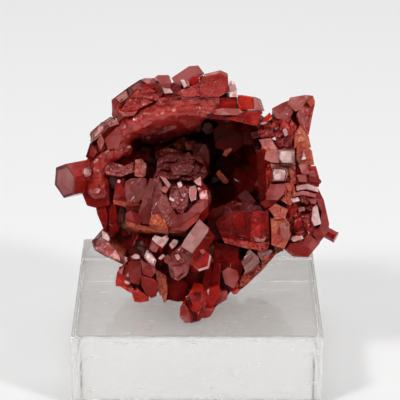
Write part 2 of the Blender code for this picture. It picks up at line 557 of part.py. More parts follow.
def display_block(collection):
    """The clear block, with softened edges."""
    bpy.ops.mesh.primitive_cube_add(size=1.0, location=(0.0, 0.0, BLOCK_HEIGHT * MM / 2))
    obj = bpy.context.object
    obj.name = "display_block"
    obj.data.name = "display_block"
    for user in list(obj.users_collection):
        user.objects.unlink(obj)
    collection.objects.link(obj)
    obj.data.transform(Matrix.Diagonal((BLOCK_WIDTH * MM, BLOCK_WIDTH * MM,
                                        BLOCK_HEIGHT * MM, 1.0)))
    bevel = obj.modifiers.new("edges", "BEVEL")
    bevel.width = BLOCK_EDGE * MM
    bevel.segments = 1
    obj.data.materials.append(new_material("clear_acrylic", (0.93, 0.93, 0.92), 0.05, 1.0))
    return obj


def block_clearance(collection):
    """The space that the specimen keeps clear: the block with the gap round it."""
    bpy.ops.mesh.primitive_cube_add(size=1.0, location=(0.0, 0.0, 0.0))
    obj = bpy.context.object
    obj.name = "block_clearance"
    for user in list(obj.users_collection):
        user.objects.unlink(obj)
    collection.objects.link(obj)
    side = (BLOCK_WIDTH + 2.0 * CLEAR_BESIDE) * MM
    top = (BLOCK_HEIGHT + GAP) * MM
    below = CLEAR_BELOW * MM
    obj.data.transform(Matrix.Translation((0.0, 0.0, (top - below) / 2))
                       @ Matrix.Diagonal((side, side, top + below, 1.0)))
    return obj


CLUMPS = (
    ("leaning_crystal", LEANING_CRYSTAL, (0.34, 0.06, 0.06)),
    ("small_hex_crystal", SMALL_HEX_CRYSTAL, (0.42, 0.05, 0.04)),
    ("central_crystal", CENTRAL_CRYSTAL, (0.30, 0.05, 0.05)),
    ("hopper_crystal", HOPPER_CRYSTAL, (0.36, 0.05, 0.05)),
    ("stained_crystal", STAINED_CRYSTAL, (0.46, 0.17, 0.08)),
    ("lower_crystals", LOWER_CRYSTALS, (0.33, 0.05, 0.04)),
    ("bottom_tip", BOTTOM_TIP, (0.42, 0.05, 0.02)),
    ("lower_right_crystals", LOWER_RIGHT_CRYSTALS, (0.30, 0.06, 0.05)),
    ("red_shelf", RED_SHELF, (0.34, 0.02, 0.01)),
    ("right_column", RIGHT_COLUMN, (0.40, 0.09, 0.08)),
    ("right_ear", RIGHT_EAR, (0.40, 0.06, 0.03)),
    ("crown_crystals", CROWN_CRYSTALS, (0.38, 0.06, 0.05)),
    ("canopy_crystals", CANOPY_CRYSTALS, (0.40, 0.05, 0.03)),
    ("left_tablet", LEFT_TABLET, (0.36, 0.07, 0.07)),
    ("lower_left_leaf", LOWER_LEFT_LEAF, (0.40, 0.14, 0.10)),
    ("left_wall_crystals", LEFT_WALL_CRYSTALS, (0.28, 0.02, 0.02)),
)
PITS = {"central_crystal": CENTRAL_PITS, "hopper_crystal": HOPPER_PITS}


def hollow_crust(parts, cutters, clear_of):
    """The skin of crystals that lines the hollow."""
    outer = HOLLOW_RADII - Vector((GAP,) * 3)
    inner = outer - Vector((CRUST_THICKNESS,) * 3)
    crust = add_object("cavity_crust", oval_mesh(HOLLOW_CENTRE, HOLLOW_RADII), parts)
    limit = add_object("crust_limit", oval_mesh(HOLLOW_CENTRE, outer), cutters)
    void = add_object("crust_void", oval_mesh(HOLLOW_CENTRE, inner), cutters)
    cut = bmesh.new()
    bmesh.ops.create_cube(cut, size=MOUTH_SIZE)
    bmesh.ops.translate(cut, vec=(0.0, 0.0, MOUTH_SIZE / 2.0 + MOUTH_OUT), verts=cut.verts)
    mouth = add_object("crust_mouth", cut, cutters)
    combine(crust, "DIFFERENCE", [void, mouth])
    crystals = [add_object(f"hollow_crystal_{i}", crystal_mesh(crystal, i), cutters)
                for i, crystal in enumerate(HOLLOW_CRYSTALS)]
    combine(crust, "UNION", crystals)
    combine(crust, "INTERSECT", [limit])
    combine(crust, "DIFFERENCE", clear_of)
    keep_largest_body(crust)
    discard(crystals + [void, mouth, limit])
    return crust


def matrix_rock(parts, cutters, clear_of):
    """The rock, with the crystals of its sides and back grown into it."""
    rng = random.Random("matrix")
    lumps = [add_object(f"rock_{i}", rock_mesh(centre, radii, rng), cutters)
             for i, (centre, radii) in enumerate(ROCK_LUMPS)]
    lumps += [add_object(f"rear_crystal_{i}", prism_mesh(crystal, rng), cutters)
              for i, crystal in enumerate(rear_crystals())]
    rock = lumps[0]
    rock.name = "matrix"
    combine(rock, "UNION", lumps[1:])
    hollow = add_object("hollow", oval_mesh(HOLLOW_CENTRE, HOLLOW_RADII), cutters)
    combine(rock, "DIFFERENCE", [hollow] + clear_of)
    keep_largest_body(rock)
    discard(lumps[1:])
    cutters.objects.unlink(rock)
    parts.objects.link(rock)
    rock.data.materials.clear()
    return rock


def main():
    """Build the block, the clumps of crystals, the hollow's crust and the rock."""
    for obj in list(bpy.data.objects):
        bpy.data.objects.remove(obj)
    parts = bpy.data.collections.new("vanadinite_on_matrix")
    cutters = bpy.data.collections.new("cutters")
    bpy.context.scene.collection.children.link(parts)
    bpy.context.scene.collection.children.link(cutters)

    display_block(parts)
    clear_of = [block_clearance(cutters)]
    for name, crystals, colour in CLUMPS:
        bodies = [add_object(f"{name}_{i}", crystal_mesh(crystal, i), cutters)
                  for i, crystal in enumerate(crystals)]
        clump = bodies[0]
        clump.name = name
        if bodies[1:]:
            combine(clump, "UNION", bodies[1:])
        pits = [add_object(f"{name}_pit_{i}", crystal_mesh(pit, i), cutters)
                for i, pit in enumerate(PITS.get(name, ()))]
        combine(clump, "DIFFERENCE", clear_of + pits)
        keep_largest_body(clump)
        discard(bodies[1:] + pits)
        cutters.objects.unlink(clump)
        parts.objects.link(clump)
        clump.data.materials.clear()
        clump.data.materials.append(new_material(name, colour, 0.25))
        clear_of += [add_object(f"{name}_space_{i}", crystal_mesh(with_clearance(crystal), i),
                                cutters) for i, crystal in enumerate(crystals)]

    crust = hollow_crust(parts, cutters, clear_of)
    crust.data.materials.append(new_material("cavity_crust", (0.12, 0.01, 0.01), 0.3))
    rock = matrix_rock(parts, cutters, clear_of)
    rock.data.materials.append(new_material("matrix", (0.24, 0.10, 0.05), 0.8))
    for obj in cutters.objects:
        obj.hide_render = True
        obj.display_type = "WIRE"


main()
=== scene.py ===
"""Vanadinite on matrix, standing on a clear display block.

Deep red hexagonal crystals grow on a broken, iron-stained rock round an open hollow, and the
specimen stands on a clear acrylic block.

Every crystal is laid out in the specimen's own frame, in millimetres: (right, up, out), with
"out" square to the face that the specimen shows. That frame leans back on the block.
"""

from __future__ import annotations

import logging
import math
import random
from dataclasses import dataclass, field
from enum import Enum, IntEnum

import bmesh
import bpy
from mathutils import Matrix, Vector, noise

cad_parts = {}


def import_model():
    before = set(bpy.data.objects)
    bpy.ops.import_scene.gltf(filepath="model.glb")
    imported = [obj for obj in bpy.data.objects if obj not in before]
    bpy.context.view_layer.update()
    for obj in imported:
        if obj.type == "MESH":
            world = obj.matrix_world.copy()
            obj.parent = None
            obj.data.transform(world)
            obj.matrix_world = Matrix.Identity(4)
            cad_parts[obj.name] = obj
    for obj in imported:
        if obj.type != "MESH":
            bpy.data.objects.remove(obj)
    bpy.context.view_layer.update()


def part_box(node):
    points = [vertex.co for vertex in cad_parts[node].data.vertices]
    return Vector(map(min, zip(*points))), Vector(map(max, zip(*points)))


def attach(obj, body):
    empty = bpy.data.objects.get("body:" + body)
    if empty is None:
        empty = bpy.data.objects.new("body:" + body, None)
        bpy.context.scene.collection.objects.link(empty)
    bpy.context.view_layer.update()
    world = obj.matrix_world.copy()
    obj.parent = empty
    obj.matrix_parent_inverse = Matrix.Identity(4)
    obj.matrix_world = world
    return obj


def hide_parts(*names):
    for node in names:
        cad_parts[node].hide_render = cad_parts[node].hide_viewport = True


LOG = logging.getLogger("vanadinite")

MM = 0.001
BODY = "root"
LEAN = math.radians(21.9)
GOLDEN_TURN = math.pi * (3.0 - math.sqrt(5.0))
OUTWARD = Vector((0.0, 0.0, 1.0))
GROWTH_MAP = "growth"

NUMBER = "NodeSocketFloat"
PLACE = "NodeSocketVector"

Colour = tuple[float, float, float]
Triple = tuple[float, float, float]
Pair = tuple[float, float]
Lump = tuple[Triple, Triple]


# ----------------------------------------------------------------------------- node trees


class NodeSheet:
    """A node tree that is written one node at a time."""

    def __init__(self, tree: bpy.types.NodeTree) -> None:
        """Keep the tree.

        Args:
            tree: The tree that the nodes go in.
        """
        self.tree = tree

    def fill(self, node: bpy.types.Node, inputs: dict) -> None:
        """Fill a node's inputs.

        Args:
            node: The node.
            inputs: What goes in each input: a value, or the output that feeds it.
        """
        for name, value in inputs.items():
            socket = node.inputs[name]
            if isinstance(value, bpy.types.NodeSocket):
                self.tree.links.new(value, socket)
            elif socket.type == "RGBA":
                socket.default_value = (*value, 1.0)
            else:
                socket.default_value = value

    def add(self, kind: str, inputs: dict | None = None, **settings: object) -> bpy.types.Node:
        """Add a node.

        Args:
            kind: The node's type.
            inputs: What goes in each input.
            settings: The node's own properties.

        Returns:
            The new node.
        """
        node = self.tree.nodes.new(kind)
        for name, value in settings.items():
            setattr(node, name, value)
        self.fill(node, inputs or {})
        return node

    def use(self, group: bpy.types.NodeTree, inputs: dict) -> bpy.types.NodeOutputs:
        """Use a node group.

        Args:
            group: The group.
            inputs: What goes in each input.

        Returns:
            Its outputs.
        """
        return self.add("ShaderNodeGroup", inputs, node_tree=group).outputs

    def math(self, operation: str, first: object, second: object) -> bpy.types.NodeSocket:
        """One sum on two values.

        Args:
            operation: The Math node's operation.
            first: A value or an output.
            second: A value or an output.

        Returns:
            The result.
        """
        return self.add("ShaderNodeMath", {0: first, 1: second}, operation=operation).outputs[0]

    def vector(self, operation: str, first: object, second: object) -> bpy.types.NodeOutputs:
        """One sum on two vectors.

        Args:
            operation: The Vector Math node's operation.
            first: A vector or an output.
            second: A vector or an output.

        Returns:
            The outputs: a vector and a value.
        """
        values = {0: first, 1: second}
        return self.add("ShaderNodeVectorMath", values, operation=operation).outputs

    def noise(self, place: object, scale: float, detail: float = 3.0,
              roughness: float = 0.5) -> bpy.types.NodeSocket:
        """Soft noise.

        Args:
            place: The coordinates.
            scale: Features for each unit of the coordinates.
            detail: How many finer layers it has.
            roughness: How strong the finer layers are.

        Returns:
            The noise's value.
        """
        values = {"Vector": place, "Scale": scale, "Detail": detail, "Roughness": roughness}
        return self.add("ShaderNodeTexNoise", values).outputs["Fac"]

    def ramp(self, value: object, low: object, high: object) -> bpy.types.NodeSocket:
        """Spread a value from 0 at low to 1 at high.

        Args:
            value: The value.
            low: What becomes 0.
            high: What becomes 1.

        Returns:
            The spread value.
        """
        values = {"Value": value, "From Min": low, "From Max": high}
        return self.add("ShaderNodeMapRange", values, interpolation_type="SMOOTHSTEP").outputs[0]

    def mix(self, share: object, first: object, second: object) -> bpy.types.NodeSocket:
        """Mix two colours.

        Args:
            share: How much of the second.
            first: A colour or an output.
            second: A colour or an output.

        Returns:
            The mixed colour.
        """
        values = {0: share, 6: first, 7: second}
        return self.add("ShaderNodeMix", values, data_type="RGBA").outputs[2]

    def bump(self, height: object, distance: float, strength: float = 1.0) -> bpy.types.NodeSocket:
        """Relief.

        Args:
            height: The height.
            distance: How far a height of 1 stands out, in metres.
            strength: How strong the relief looks.

        Returns:
            The normal.
        """
        values = {"Strength": strength, "Distance": distance, "Height": height}
        return self.add("ShaderNodeBump", values).outputs[0]


class Group(NodeSheet):
    """A shader node group that is being written."""

    def __init__(self, name: str, inputs: dict[str, str], outputs: tuple[str, ...]) -> None:
        """Start the group.

        Args:
            name: The group's name.
            inputs: Each input's name and socket type.
            outputs: Each output's name. All are numbers.
        """
        super().__init__(bpy.data.node_groups.new(name, "ShaderNodeTree"))
        for socket, kind in inputs.items():
            self.tree.interface.new_socket(socket, in_out="INPUT", socket_type=kind)
        for socket in outputs:
            self.tree.interface.new_socket(socket, in_out="OUTPUT", socket_type=NUMBER)
        self.given = self.add("NodeGroupInput").outputs
        self.result = self.add("NodeGroupOutput")

    def done(self, **outputs: bpy.types.NodeSocket) -> bpy.types.NodeTree:
        """Finish the group.

        Args:
            outputs: What each output gives.

        Returns:
            The node group.
        """
        self.fill(self.result, outputs)
        return self.tree


# Each layer of tilted facets: how much finer it is than the first, and its share of the tilt.
FACET_LAYERS = ((1.0, 1.0), (3.1, 0.45))
LINE_STRETCH = (0.35, 6.5, 1.0)


def relief_group() -> bpy.types.NodeTree:
    """The crystals' relief: a mosaic of slightly tilted facets, and fine growth lines.

    Returns:
        The node group. Its height is in millimetres.
    """
    group = Group("growth_relief", {"Place": PLACE, "Along": PLACE, "Facet": NUMBER,
                                    "Tilt": NUMBER, "Lines": NUMBER}, ("Height", "Shade"))
    place = group.given["Place"]
    heights = []
    colours = []
    for finer, share in FACET_LAYERS:
        cells = group.math("DIVIDE", finer, group.given["Facet"])
        facets = group.add("ShaderNodeTexVoronoi", {"Vector": place, "Scale": cells}).outputs
        local = group.vector("SUBTRACT", place, facets["Position"])[0]
        turn = group.vector("SUBTRACT", facets["Color"], (0.5, 0.5, 0.5))[0]
        slope = group.vector("DOT_PRODUCT", local, turn)["Value"]
        tilt = group.math("MULTIPLY", group.given["Tilt"], share)
        heights.append(group.math("MULTIPLY", slope, tilt))
        colours.append(facets["Color"])
    stretched = group.vector("MULTIPLY", group.given["Along"], LINE_STRETCH)[0]
    lines = group.math("SUBTRACT", group.noise(stretched, 1.0, 2.0), 0.5)
    heights.append(group.math("MULTIPLY", lines, group.given["Lines"]))
    total = group.math("ADD", group.math("ADD", heights[0], heights[1]), heights[2])
    shade = group.add("ShaderNodeSeparateColor", {0: colours[0]}).outputs[1]
    return group.done(Height=total, Shade=shade)


STAIN_CLOUDS = (0.45, 5.0, 0.62)
STAIN_BARE = 0.78
STAIN_SPREAD = 0.56
STAIN_SOFTNESS = 0.07
STAIN_ONSET = 12.0


def stain_group() -> bpy.types.NodeTree:
    """Patches of iron stain that gather in clouds.

    Returns:
        The node group.
    """
    group = Group("iron_stain", {"Place": PLACE, "Amount": NUMBER}, ("Mask",))
    amount = group.given["Amount"]
    clouds = group.noise(group.given["Place"], *STAIN_CLOUDS)
    middle = group.math("SUBTRACT", STAIN_BARE, group.math("MULTIPLY", amount, STAIN_SPREAD))
    low = group.math("SUBTRACT", middle, STAIN_SOFTNESS)
    high = group.math("ADD", middle, STAIN_SOFTNESS)
    share = group.math("MINIMUM", group.math("MULTIPLY", amount, STAIN_ONSET), 1.0)
    return group.done(Mask=group.math("MULTIPLY", group.ramp(clouds, low, high), share))


SPECK_GRAINS = (4.6, 2.0, 0.6)
SPECK_EDGE = (0.60, 0.70)
SPECK_FIELDS = (0.5, 2.0)
SPECK_FIELD_EDGE = (0.44, 0.62)


def speck_group() -> bpy.types.NodeTree:
    """Small pale specks of dust and chipped edges, more of them in some fields.

    Returns:
        The node group.
    """
    group = Group("pale_specks", {"Place": PLACE, "Amount": NUMBER}, ("Mask",))
    grains = group.ramp(group.noise(group.given["Place"], *SPECK_GRAINS), *SPECK_EDGE)
    where = group.ramp(group.noise(group.given["Place"], *SPECK_FIELDS), *SPECK_FIELD_EDGE)
    both = group.math("MULTIPLY", grains, where)
    return group.done(Mask=group.math("MULTIPLY", both, group.given["Amount"]))


# Painted shade in the hollow: each shaded zone's centre and radii.
HOLLOW_SHADE_ZONES: tuple[Lump, ...] = (((1.2, 3.4, -1.6), (9.0, 7.4, 6.4)),
                            ((-4.5, 6.0, -1.2), (6.2, 4.3, 5.0)))
HOLLOW_SHADE_EDGE = (0.55, 1.15)


def hollow_shade_group(place: Matrix) -> bpy.types.NodeTree:
    """Painted shade in the hollow: how far a point is from the shaded zones, 0 inside them, 1 well
    outside.

    Args:
        place: The matrix from the specimen's millimetres to the room's metres.

    Returns:
        The node group.
    """
    group = Group("painted_hollow_shade", {"Metres": PLACE, "Amount": NUMBER}, ("Light",))
    light = 1.0
    for centre, radii in HOLLOW_SHADE_ZONES:
        local = group.add("ShaderNodeMapping", {
            "Vector": group.given["Metres"], "Location": place @ Vector(centre),
            "Rotation": place.to_euler(), "Scale": Vector(radii) * MM}, vector_type="TEXTURE")
        away = group.add("ShaderNodeVectorMath", {0: local.outputs[0]}, operation="LENGTH")
        light = group.math("MINIMUM", group.ramp(away.outputs["Value"], *HOLLOW_SHADE_EDGE), light)
    shade = group.math("MULTIPLY", group.math("SUBTRACT", 1.0, light), group.given["Amount"])
    return group.done(Light=group.math("SUBTRACT", 1.0, shade))


# Painted shade deep between crystals: how far the openness looks, its samples and its spread.
CREVICE_REACH = 1.6 * MM
CREVICE_SAMPLES = 6
CREVICE_EDGE = (0.12, 0.72)


def crevice_shade_group() -> bpy.types.NodeTree:
    """How open a point is, for painted shade deep between crystals: 0 deep between them, 1 where
    nothing stands near it.

    Returns:
        The node group.
    """
    group = Group("crevice_shade", {"Reach": NUMBER}, ("Open",))
    near = group.add("ShaderNodeAmbientOcclusion", {"Distance": group.given["Reach"]},
                     samples=CREVICE_SAMPLES)
    return group.done(Open=group.ramp(near.outputs["AO"], *CREVICE_EDGE))


@dataclass
class Effects:
    """The node groups that the materials share."""

    place: Matrix
    relief: bpy.types.NodeTree = field(default_factory=relief_group)
    stain: bpy.types.NodeTree = field(default_factory=stain_group)
    specks: bpy.types.NodeTree = field(default_factory=speck_group)
    crevice_shade: bpy.types.NodeTree = field(default_factory=crevice_shade_group)

    def __post_init__(self) -> None:
        """Make the group that needs the specimen's place."""
        self.hollow_shade = hollow_shade_group(self.place)


class Paint(NodeSheet):
    """A material that is being written."""

    def __init__(self, name: str) -> None:
        """Start the material.

        Args:
            name: The material's name.
        """
        self.material = bpy.data.materials.new(name)
        self.material.use_nodes = True
        super().__init__(self.material.node_tree)

    def coordinates(self) -> tuple[bpy.types.NodeSocket, bpy.types.NodeSocket]:
        """Where a point is.

        Returns:
            Its place in metres and in millimetres.
        """
        metres = self.add("ShaderNodeTexCoord").outputs["Object"]
        return metres, self.vector("MULTIPLY", metres, (1.0 / MM,) * 3)[0]

    def done(self, **sockets: object) -> bpy.types.Material:
        """Finish the material.

        Args:
            sockets: What goes in the shader's sockets, with underscores for spaces.

        Returns:
            The material.
        """
        self.fill(self.tree.nodes["Principled BSDF"],
                  {name.replace("_", " "): value for name, value in sockets.items()})
        return self.material


# ------------------------------------------------------------------------------- finishes


RUST_COLOUR = (0.56, 0.17, 0.055)
DUST_COLOUR = (0.66, 0.36, 0.30)
# Painted shade colours: the hollow's dark colour, and a deep red for deep between crystals.
HOLLOW_SHADE_COLOUR = (0.085, 0.0025, 0.0015)
CREVICE_SHADE_COLOUR = (0.06, 0.001, 0.001)
GLOW_DEPTH = 0.3 * MM
GLOW_REACH = (1.0, 0.12, 0.05)
GLINT_COLOUR = (1.0, 0.80, 0.78)
DEPTH_CLOUDS = (0.32, 4.0, 0.6)
DEPTH_CELLS = 0.35
DEPTH_EDGE = (0.42, 0.86)
STAIN_DULLNESS = 0.35
WEAR = 0.22
WEAR_SCALE = 1.3
WEAR_MIDDLE = 0.08


@dataclass(frozen=True)
class CrystalFinish:
    """How a facet of vanadinite looks."""

    colour: Colour
    deep: Colour
    stain: float = 0.0
    specks: float = 0.1
    roughness: float = 0.2
    facet: float = 1.2
    tilt: float = 0.25
    lines: float = 0.05
    glow: float = 0.0
    # hollow_shade is how strongly painted shade darkens the hollow; root is the painted shade
    # colour deep between crystals.
    hollow_shade: float = 1.0
    root: Colour = (0.17, 0.004, 0.002)
    refraction: float = 1.7
    slot: str = "vanadinite"

    def material(self, name: str, effects: Effects) -> bpy.types.Material:
        """Make the material.

        Args:
            name: The material's name.
            effects: The shared node groups.

        Returns:
            The material.
        """
        paint = Paint(name)
        metres, place = paint.coordinates()
        along = paint.add("ShaderNodeUVMap", uv_map=GROWTH_MAP).outputs[0]
        relief = paint.use(effects.relief, {"Place": place, "Along": along, "Facet": self.facet,
                                            "Tilt": self.tilt, "Lines": self.lines})
        stain = paint.use(effects.stain, {"Place": place, "Amount": self.stain})["Mask"]
        specks = paint.use(effects.specks, {"Place": place, "Amount": self.specks})["Mask"]
        # Painted shade: in the hollow, and deep between crystals.
        light = paint.use(effects.hollow_shade, {"Metres": metres, "Amount": self.hollow_shade})["Light"]
        openness = paint.use(effects.crevice_shade, {"Reach": CREVICE_REACH})["Open"]

        cells = paint.math("MULTIPLY", relief["Shade"], DEPTH_CELLS)
        clouds = paint.math("ADD", paint.noise(place, *DEPTH_CLOUDS), cells)
        body = paint.mix(paint.ramp(clouds, *DEPTH_EDGE), self.colour, self.deep)
        dusted = paint.mix(specks, paint.mix(stain, body, RUST_COLOUR), DUST_COLOUR)
        # Painted shade: dark in the hollow, and the root colour deep between crystals.
        shaded = paint.mix(light, HOLLOW_SHADE_COLOUR, paint.mix(openness, self.root, dusted))

        dull = paint.math("MULTIPLY", stain, STAIN_DULLNESS)
        wear = paint.math("MULTIPLY", paint.noise(place, WEAR_SCALE), WEAR)
        rough = paint.math("ADD", paint.math("ADD", dull, wear), self.roughness - WEAR_MIDDLE)
        return paint.done(
            Base_Color=shaded, Roughness=rough, Normal=paint.bump(relief["Height"], MM),
            IOR=self.refraction, Subsurface_Weight=self.glow, Subsurface_Scale=GLOW_DEPTH,
            Subsurface_Radius=GLOW_REACH, Specular_Tint=GLINT_COLOUR)


class Skin(Enum):
    """The finishes that a facet can have. Several paint light or shade into the colour: sheen,
    highlight and shade.
    """

    # Mauve painted sheen: the end faces' reflection of the soft light, painted into the colour.
    CLEAN = CrystalFinish((0.42, 0.094, 0.088), (0.27, 0.018, 0.015), roughness=0.12, facet=2.4,
                          tilt=0.06, lines=0.02, glow=0.5)
    # Pink painted sheen, brighter than the mauve, part way to a painted highlight; a little real
    # stain.
    BLUSH = CrystalFinish((0.56, 0.17, 0.155), (0.38, 0.06, 0.05), stain=0.04, specks=0.15,
                          roughness=0.14, facet=1.4, tilt=0.12, glow=0.4)
    # Painted highlight: a facet that mirrors the light, painted near white.
    PALE = CrystalFinish((0.84, 0.62, 0.60), (0.60, 0.26, 0.24), specks=0.0, roughness=0.10,
                         facet=0.7, tilt=0.30, glow=0.1)
    RED = CrystalFinish((0.52, 0.014, 0.009), (0.28, 0.004, 0.0025), stain=0.02, roughness=0.11,
                        facet=1.1, tilt=0.16, glow=0.8)
    GLOW = CrystalFinish((0.72, 0.036, 0.012), (0.48, 0.014, 0.005), specks=0.05,
                         roughness=0.11, facet=1.0, tilt=0.18, glow=0.9)
    # Painted shade: dark red for facets in shade, in gaps and in the hollow.
    DARK = CrystalFinish((0.24, 0.004, 0.0025), (0.12, 0.0015, 0.001), specks=0.0,
                         roughness=0.16, facet=1.0, tilt=0.20, glow=0.7,
                         root=(0.05, 0.001, 0.001), refraction=1.42, slot="hollow_vanadinite")
    # Painted shade over a dim mauve painted sheen, for faces in the hollow.
    DUSKY = CrystalFinish((0.22, 0.020, 0.016), (0.12, 0.005, 0.004), specks=0.0, facet=2.0,
                          tilt=0.10, glow=0.5, root=CREVICE_SHADE_COLOUR, refraction=1.45,
                          slot="hollow_vanadinite")
    BROKEN = CrystalFinish((0.60, 0.050, 0.030), (0.34, 0.010, 0.006), stain=0.04, specks=0.3,
                           roughness=0.10, facet=0.8, tilt=0.40, lines=0.10, glow=0.7)
    SHEEN = CrystalFinish((0.54, 0.050, 0.038), (0.34, 0.010, 0.007), specks=0.2, tilt=0.14,
                          lines=0.07, glow=0.7)
    WINE = CrystalFinish((0.32, 0.008, 0.005), (0.16, 0.002, 0.0015), roughness=0.12,
                         facet=1.6, tilt=0.12, glow=0.7, root=CREVICE_SHADE_COLOUR, refraction=1.5)
    # Dim mauve painted sheen, darker than the mauve one.
    PLUM = CrystalFinish((0.32, 0.062, 0.056), (0.19, 0.012, 0.010), specks=0.15,
                         roughness=0.14, facet=2.0, tilt=0.08, lines=0.04, glow=0.5)
    # Whitish painted sheen: faces that reflect the pale light.
    ASH = CrystalFinish((0.54, 0.27, 0.25), (0.38, 0.12, 0.11), specks=0.2, roughness=0.14,
                        facet=1.6, tilt=0.10, glow=0.2)
    # Grey-mauve painted sheen, greyer than the mauve one; a little real stain.
    SMOKE = CrystalFinish((0.28, 0.115, 0.105), (0.18, 0.050, 0.045), stain=0.02,
                          roughness=0.18, facet=1.8, tilt=0.08, lines=0.06, glow=0.3)
    EMBER = CrystalFinish((0.66, 0.125, 0.034), (0.42, 0.045, 0.012), stain=0.12,
                          roughness=0.24, facet=0.8, tilt=0.2, glow=0.5, hollow_shade=0.45,
                          slot="hollow_vanadinite")
    RUST = CrystalFinish((0.60, 0.14, 0.065), (0.44, 0.040, 0.018), stain=0.16, specks=0.4,
                         facet=0.9, tilt=0.2, lines=0.08, glow=0.6, slot="stained_vanadinite")


(CLEAN, BLUSH, PALE, RED, GLOW, DARK, DUSKY, BROKEN, SHEEN, WINE, PLUM, ASH, SMOKE, EMBER,
 RUST) = Skin


@dataclass(frozen=True)
class RockFinish:
    """Rough, iron-stained rock."""

    dark: Colour = (0.050, 0.008, 0.005)
    warm: Colour = (0.17, 0.040, 0.016)
    pale: Colour = (0.36, 0.20, 0.13)
    # root is the painted shade colour deep in the rock's crevices.
    root: Colour = (0.06, 0.003, 0.002)
    stain: float = 0.55
    rust: float = 0.5
    relief: float = 0.7 * MM
    fine_relief: float = 0.25
    clouds: Triple = (0.5, 6.0, 0.65)
    cloud_edge: Pair = (0.38, 0.64)
    grains: Triple = (3.0, 3.0, 0.7)
    grain_edge: Pair = (0.60, 0.72)
    bumps: Triple = (1.2, 6.0, 0.7)
    fine_bumps: float = 7.0
    roughness: float = 0.82
    slot: str = "matrix_rock"

    def material(self, name: str, effects: Effects) -> bpy.types.Material:
        """Make the material.

        Args:
            name: The material's name.
            effects: The shared node groups.

        Returns:
            The material.
        """
        paint = Paint(name)
        _, place = paint.coordinates()
        stain = paint.use(effects.stain, {"Place": place, "Amount": self.stain})["Mask"]
        openness = paint.use(effects.crevice_shade, {"Reach": CREVICE_REACH})["Open"]
        clouds = paint.ramp(paint.noise(place, *self.clouds), *self.cloud_edge)
        body = paint.mix(clouds, self.dark, self.warm)
        rusty = paint.mix(paint.math("MULTIPLY", stain, self.rust), body, RUST_COLOUR)
        grains = paint.ramp(paint.noise(place, *self.grains), *self.grain_edge)
        grainy = paint.mix(grains, rusty, self.pale)
        fine = paint.math("MULTIPLY", paint.noise(place, self.fine_bumps), self.fine_relief)
        height = paint.math("ADD", paint.noise(place, *self.bumps), fine)
        # Painted shade: the root colour deep in crevices.
        return paint.done(Base_Color=paint.mix(openness, self.root, grainy),
                          Normal=paint.bump(height, self.relief), Roughness=self.roughness)


@dataclass(frozen=True)
class AcrylicFinish:
    """Clear acrylic with fine scuffs that run along it."""

    tint: Colour = (1.0, 0.992, 0.972)
    refraction: float = 1.49
    clearness: float = 0.86
    polish: float = 0.02
    scuffed: float = 0.30
    scuff_depth: float = 0.02 * MM
    scuff_strength: float = 0.25
    scuff_stretch: Triple = (0.25, 1.6, 1.6)
    scuffs: Triple = (1.6, 5.0, 0.7)
    scuff_edge: Pair = (0.54, 0.70)
    slot: str = "clear_acrylic"

    def material(self, name: str) -> bpy.types.Material:
        """Make the material.

        Args:
            name: The material's name.

        Returns:
            The material.
        """
        paint = Paint(name)
        _, place = paint.coordinates()
        long = paint.vector("MULTIPLY", place, self.scuff_stretch)[0]
        scuffs = paint.ramp(paint.noise(long, *self.scuffs), *self.scuff_edge)
        rough = paint.math("ADD", paint.math("MULTIPLY", scuffs, self.scuffed), self.polish)
        return paint.done(
            Base_Color=self.tint, Roughness=rough, IOR=self.refraction,
            Normal=paint.bump(scuffs, self.scuff_depth, self.scuff_strength),
            Transmission_Weight=self.clearness)


# ------------------------------------------------------------------------ crystal shapes


LEAST_ROOM = 0.25
PLATE = 0.55
MOST_PLATES = 7
LEDGE = 0.07
SOFT_EDGE = 0.045
SHARP = math.radians(24.0)
LEAST_STEP = 0.15
STEP_SHIFT = 0.4
CAP_SLOPE = 0.7
LEVEL = 0.99
SLANT_SIDE = 0.45
FRONT_SLOPE = 0.75
UNEVEN = (0.92, 1.08)


def unit_way(out: float, turn: float) -> Vector:
    """A direction of length 1.

    Args:
        out: Its outward share.
        turn: Its turn about the outward way.

    Returns:
        The direction.
    """
    ring = math.sqrt(1.0 - out * out)
    return Vector((ring * math.cos(turn), ring * math.sin(turn), out))


def chance_way(rng: random.Random, reach: float) -> Vector:
    """A small way with chance in each axis.

    Args:
        rng: The source of chance.
        reach: The most that it goes along an axis.

    Returns:
        The way.
    """
    return Vector([rng.uniform(-reach, reach) for _ in range(3)])


def pour(source: bmesh.types.BMesh, target: bmesh.types.BMesh) -> None:
    """Add a mesh to another and use it up.

    Args:
        source: The mesh that is used up.
        target: The mesh that grows.
    """
    mesh = bpy.data.meshes.new("part")
    source.to_mesh(mesh)
    source.free()
    target.from_mesh(mesh)
    bpy.data.meshes.remove(mesh)


def new_object(name: str, bm: bmesh.types.BMesh) -> bpy.types.Object:
    """Put a mesh in the room and use it up.

    Args:
        name: The object's name.
        bm: The mesh.

    Returns:
        The object.
    """
    mesh = bpy.data.meshes.new(name)
    bm.to_mesh(mesh)
    bm.free()
    obj = bpy.data.objects.new(name, mesh)
    bpy.context.scene.collection.objects.link(obj)
    return obj


def oval(centre: Triple, radii: Triple, fineness: int) -> bmesh.types.BMesh:
    """An oval ball.

    Args:
        centre: Its middle.
        radii: Its radii.
        fineness: How often its faces are split.

    Returns:
        The mesh.
    """
    bm = bmesh.new()
    bmesh.ops.create_icosphere(bm, subdivisions=fineness, radius=1.0)
    bmesh.ops.scale(bm, vec=radii, verts=bm.verts)
    bmesh.ops.translate(bm, vec=centre, verts=bm.verts)
    return bm


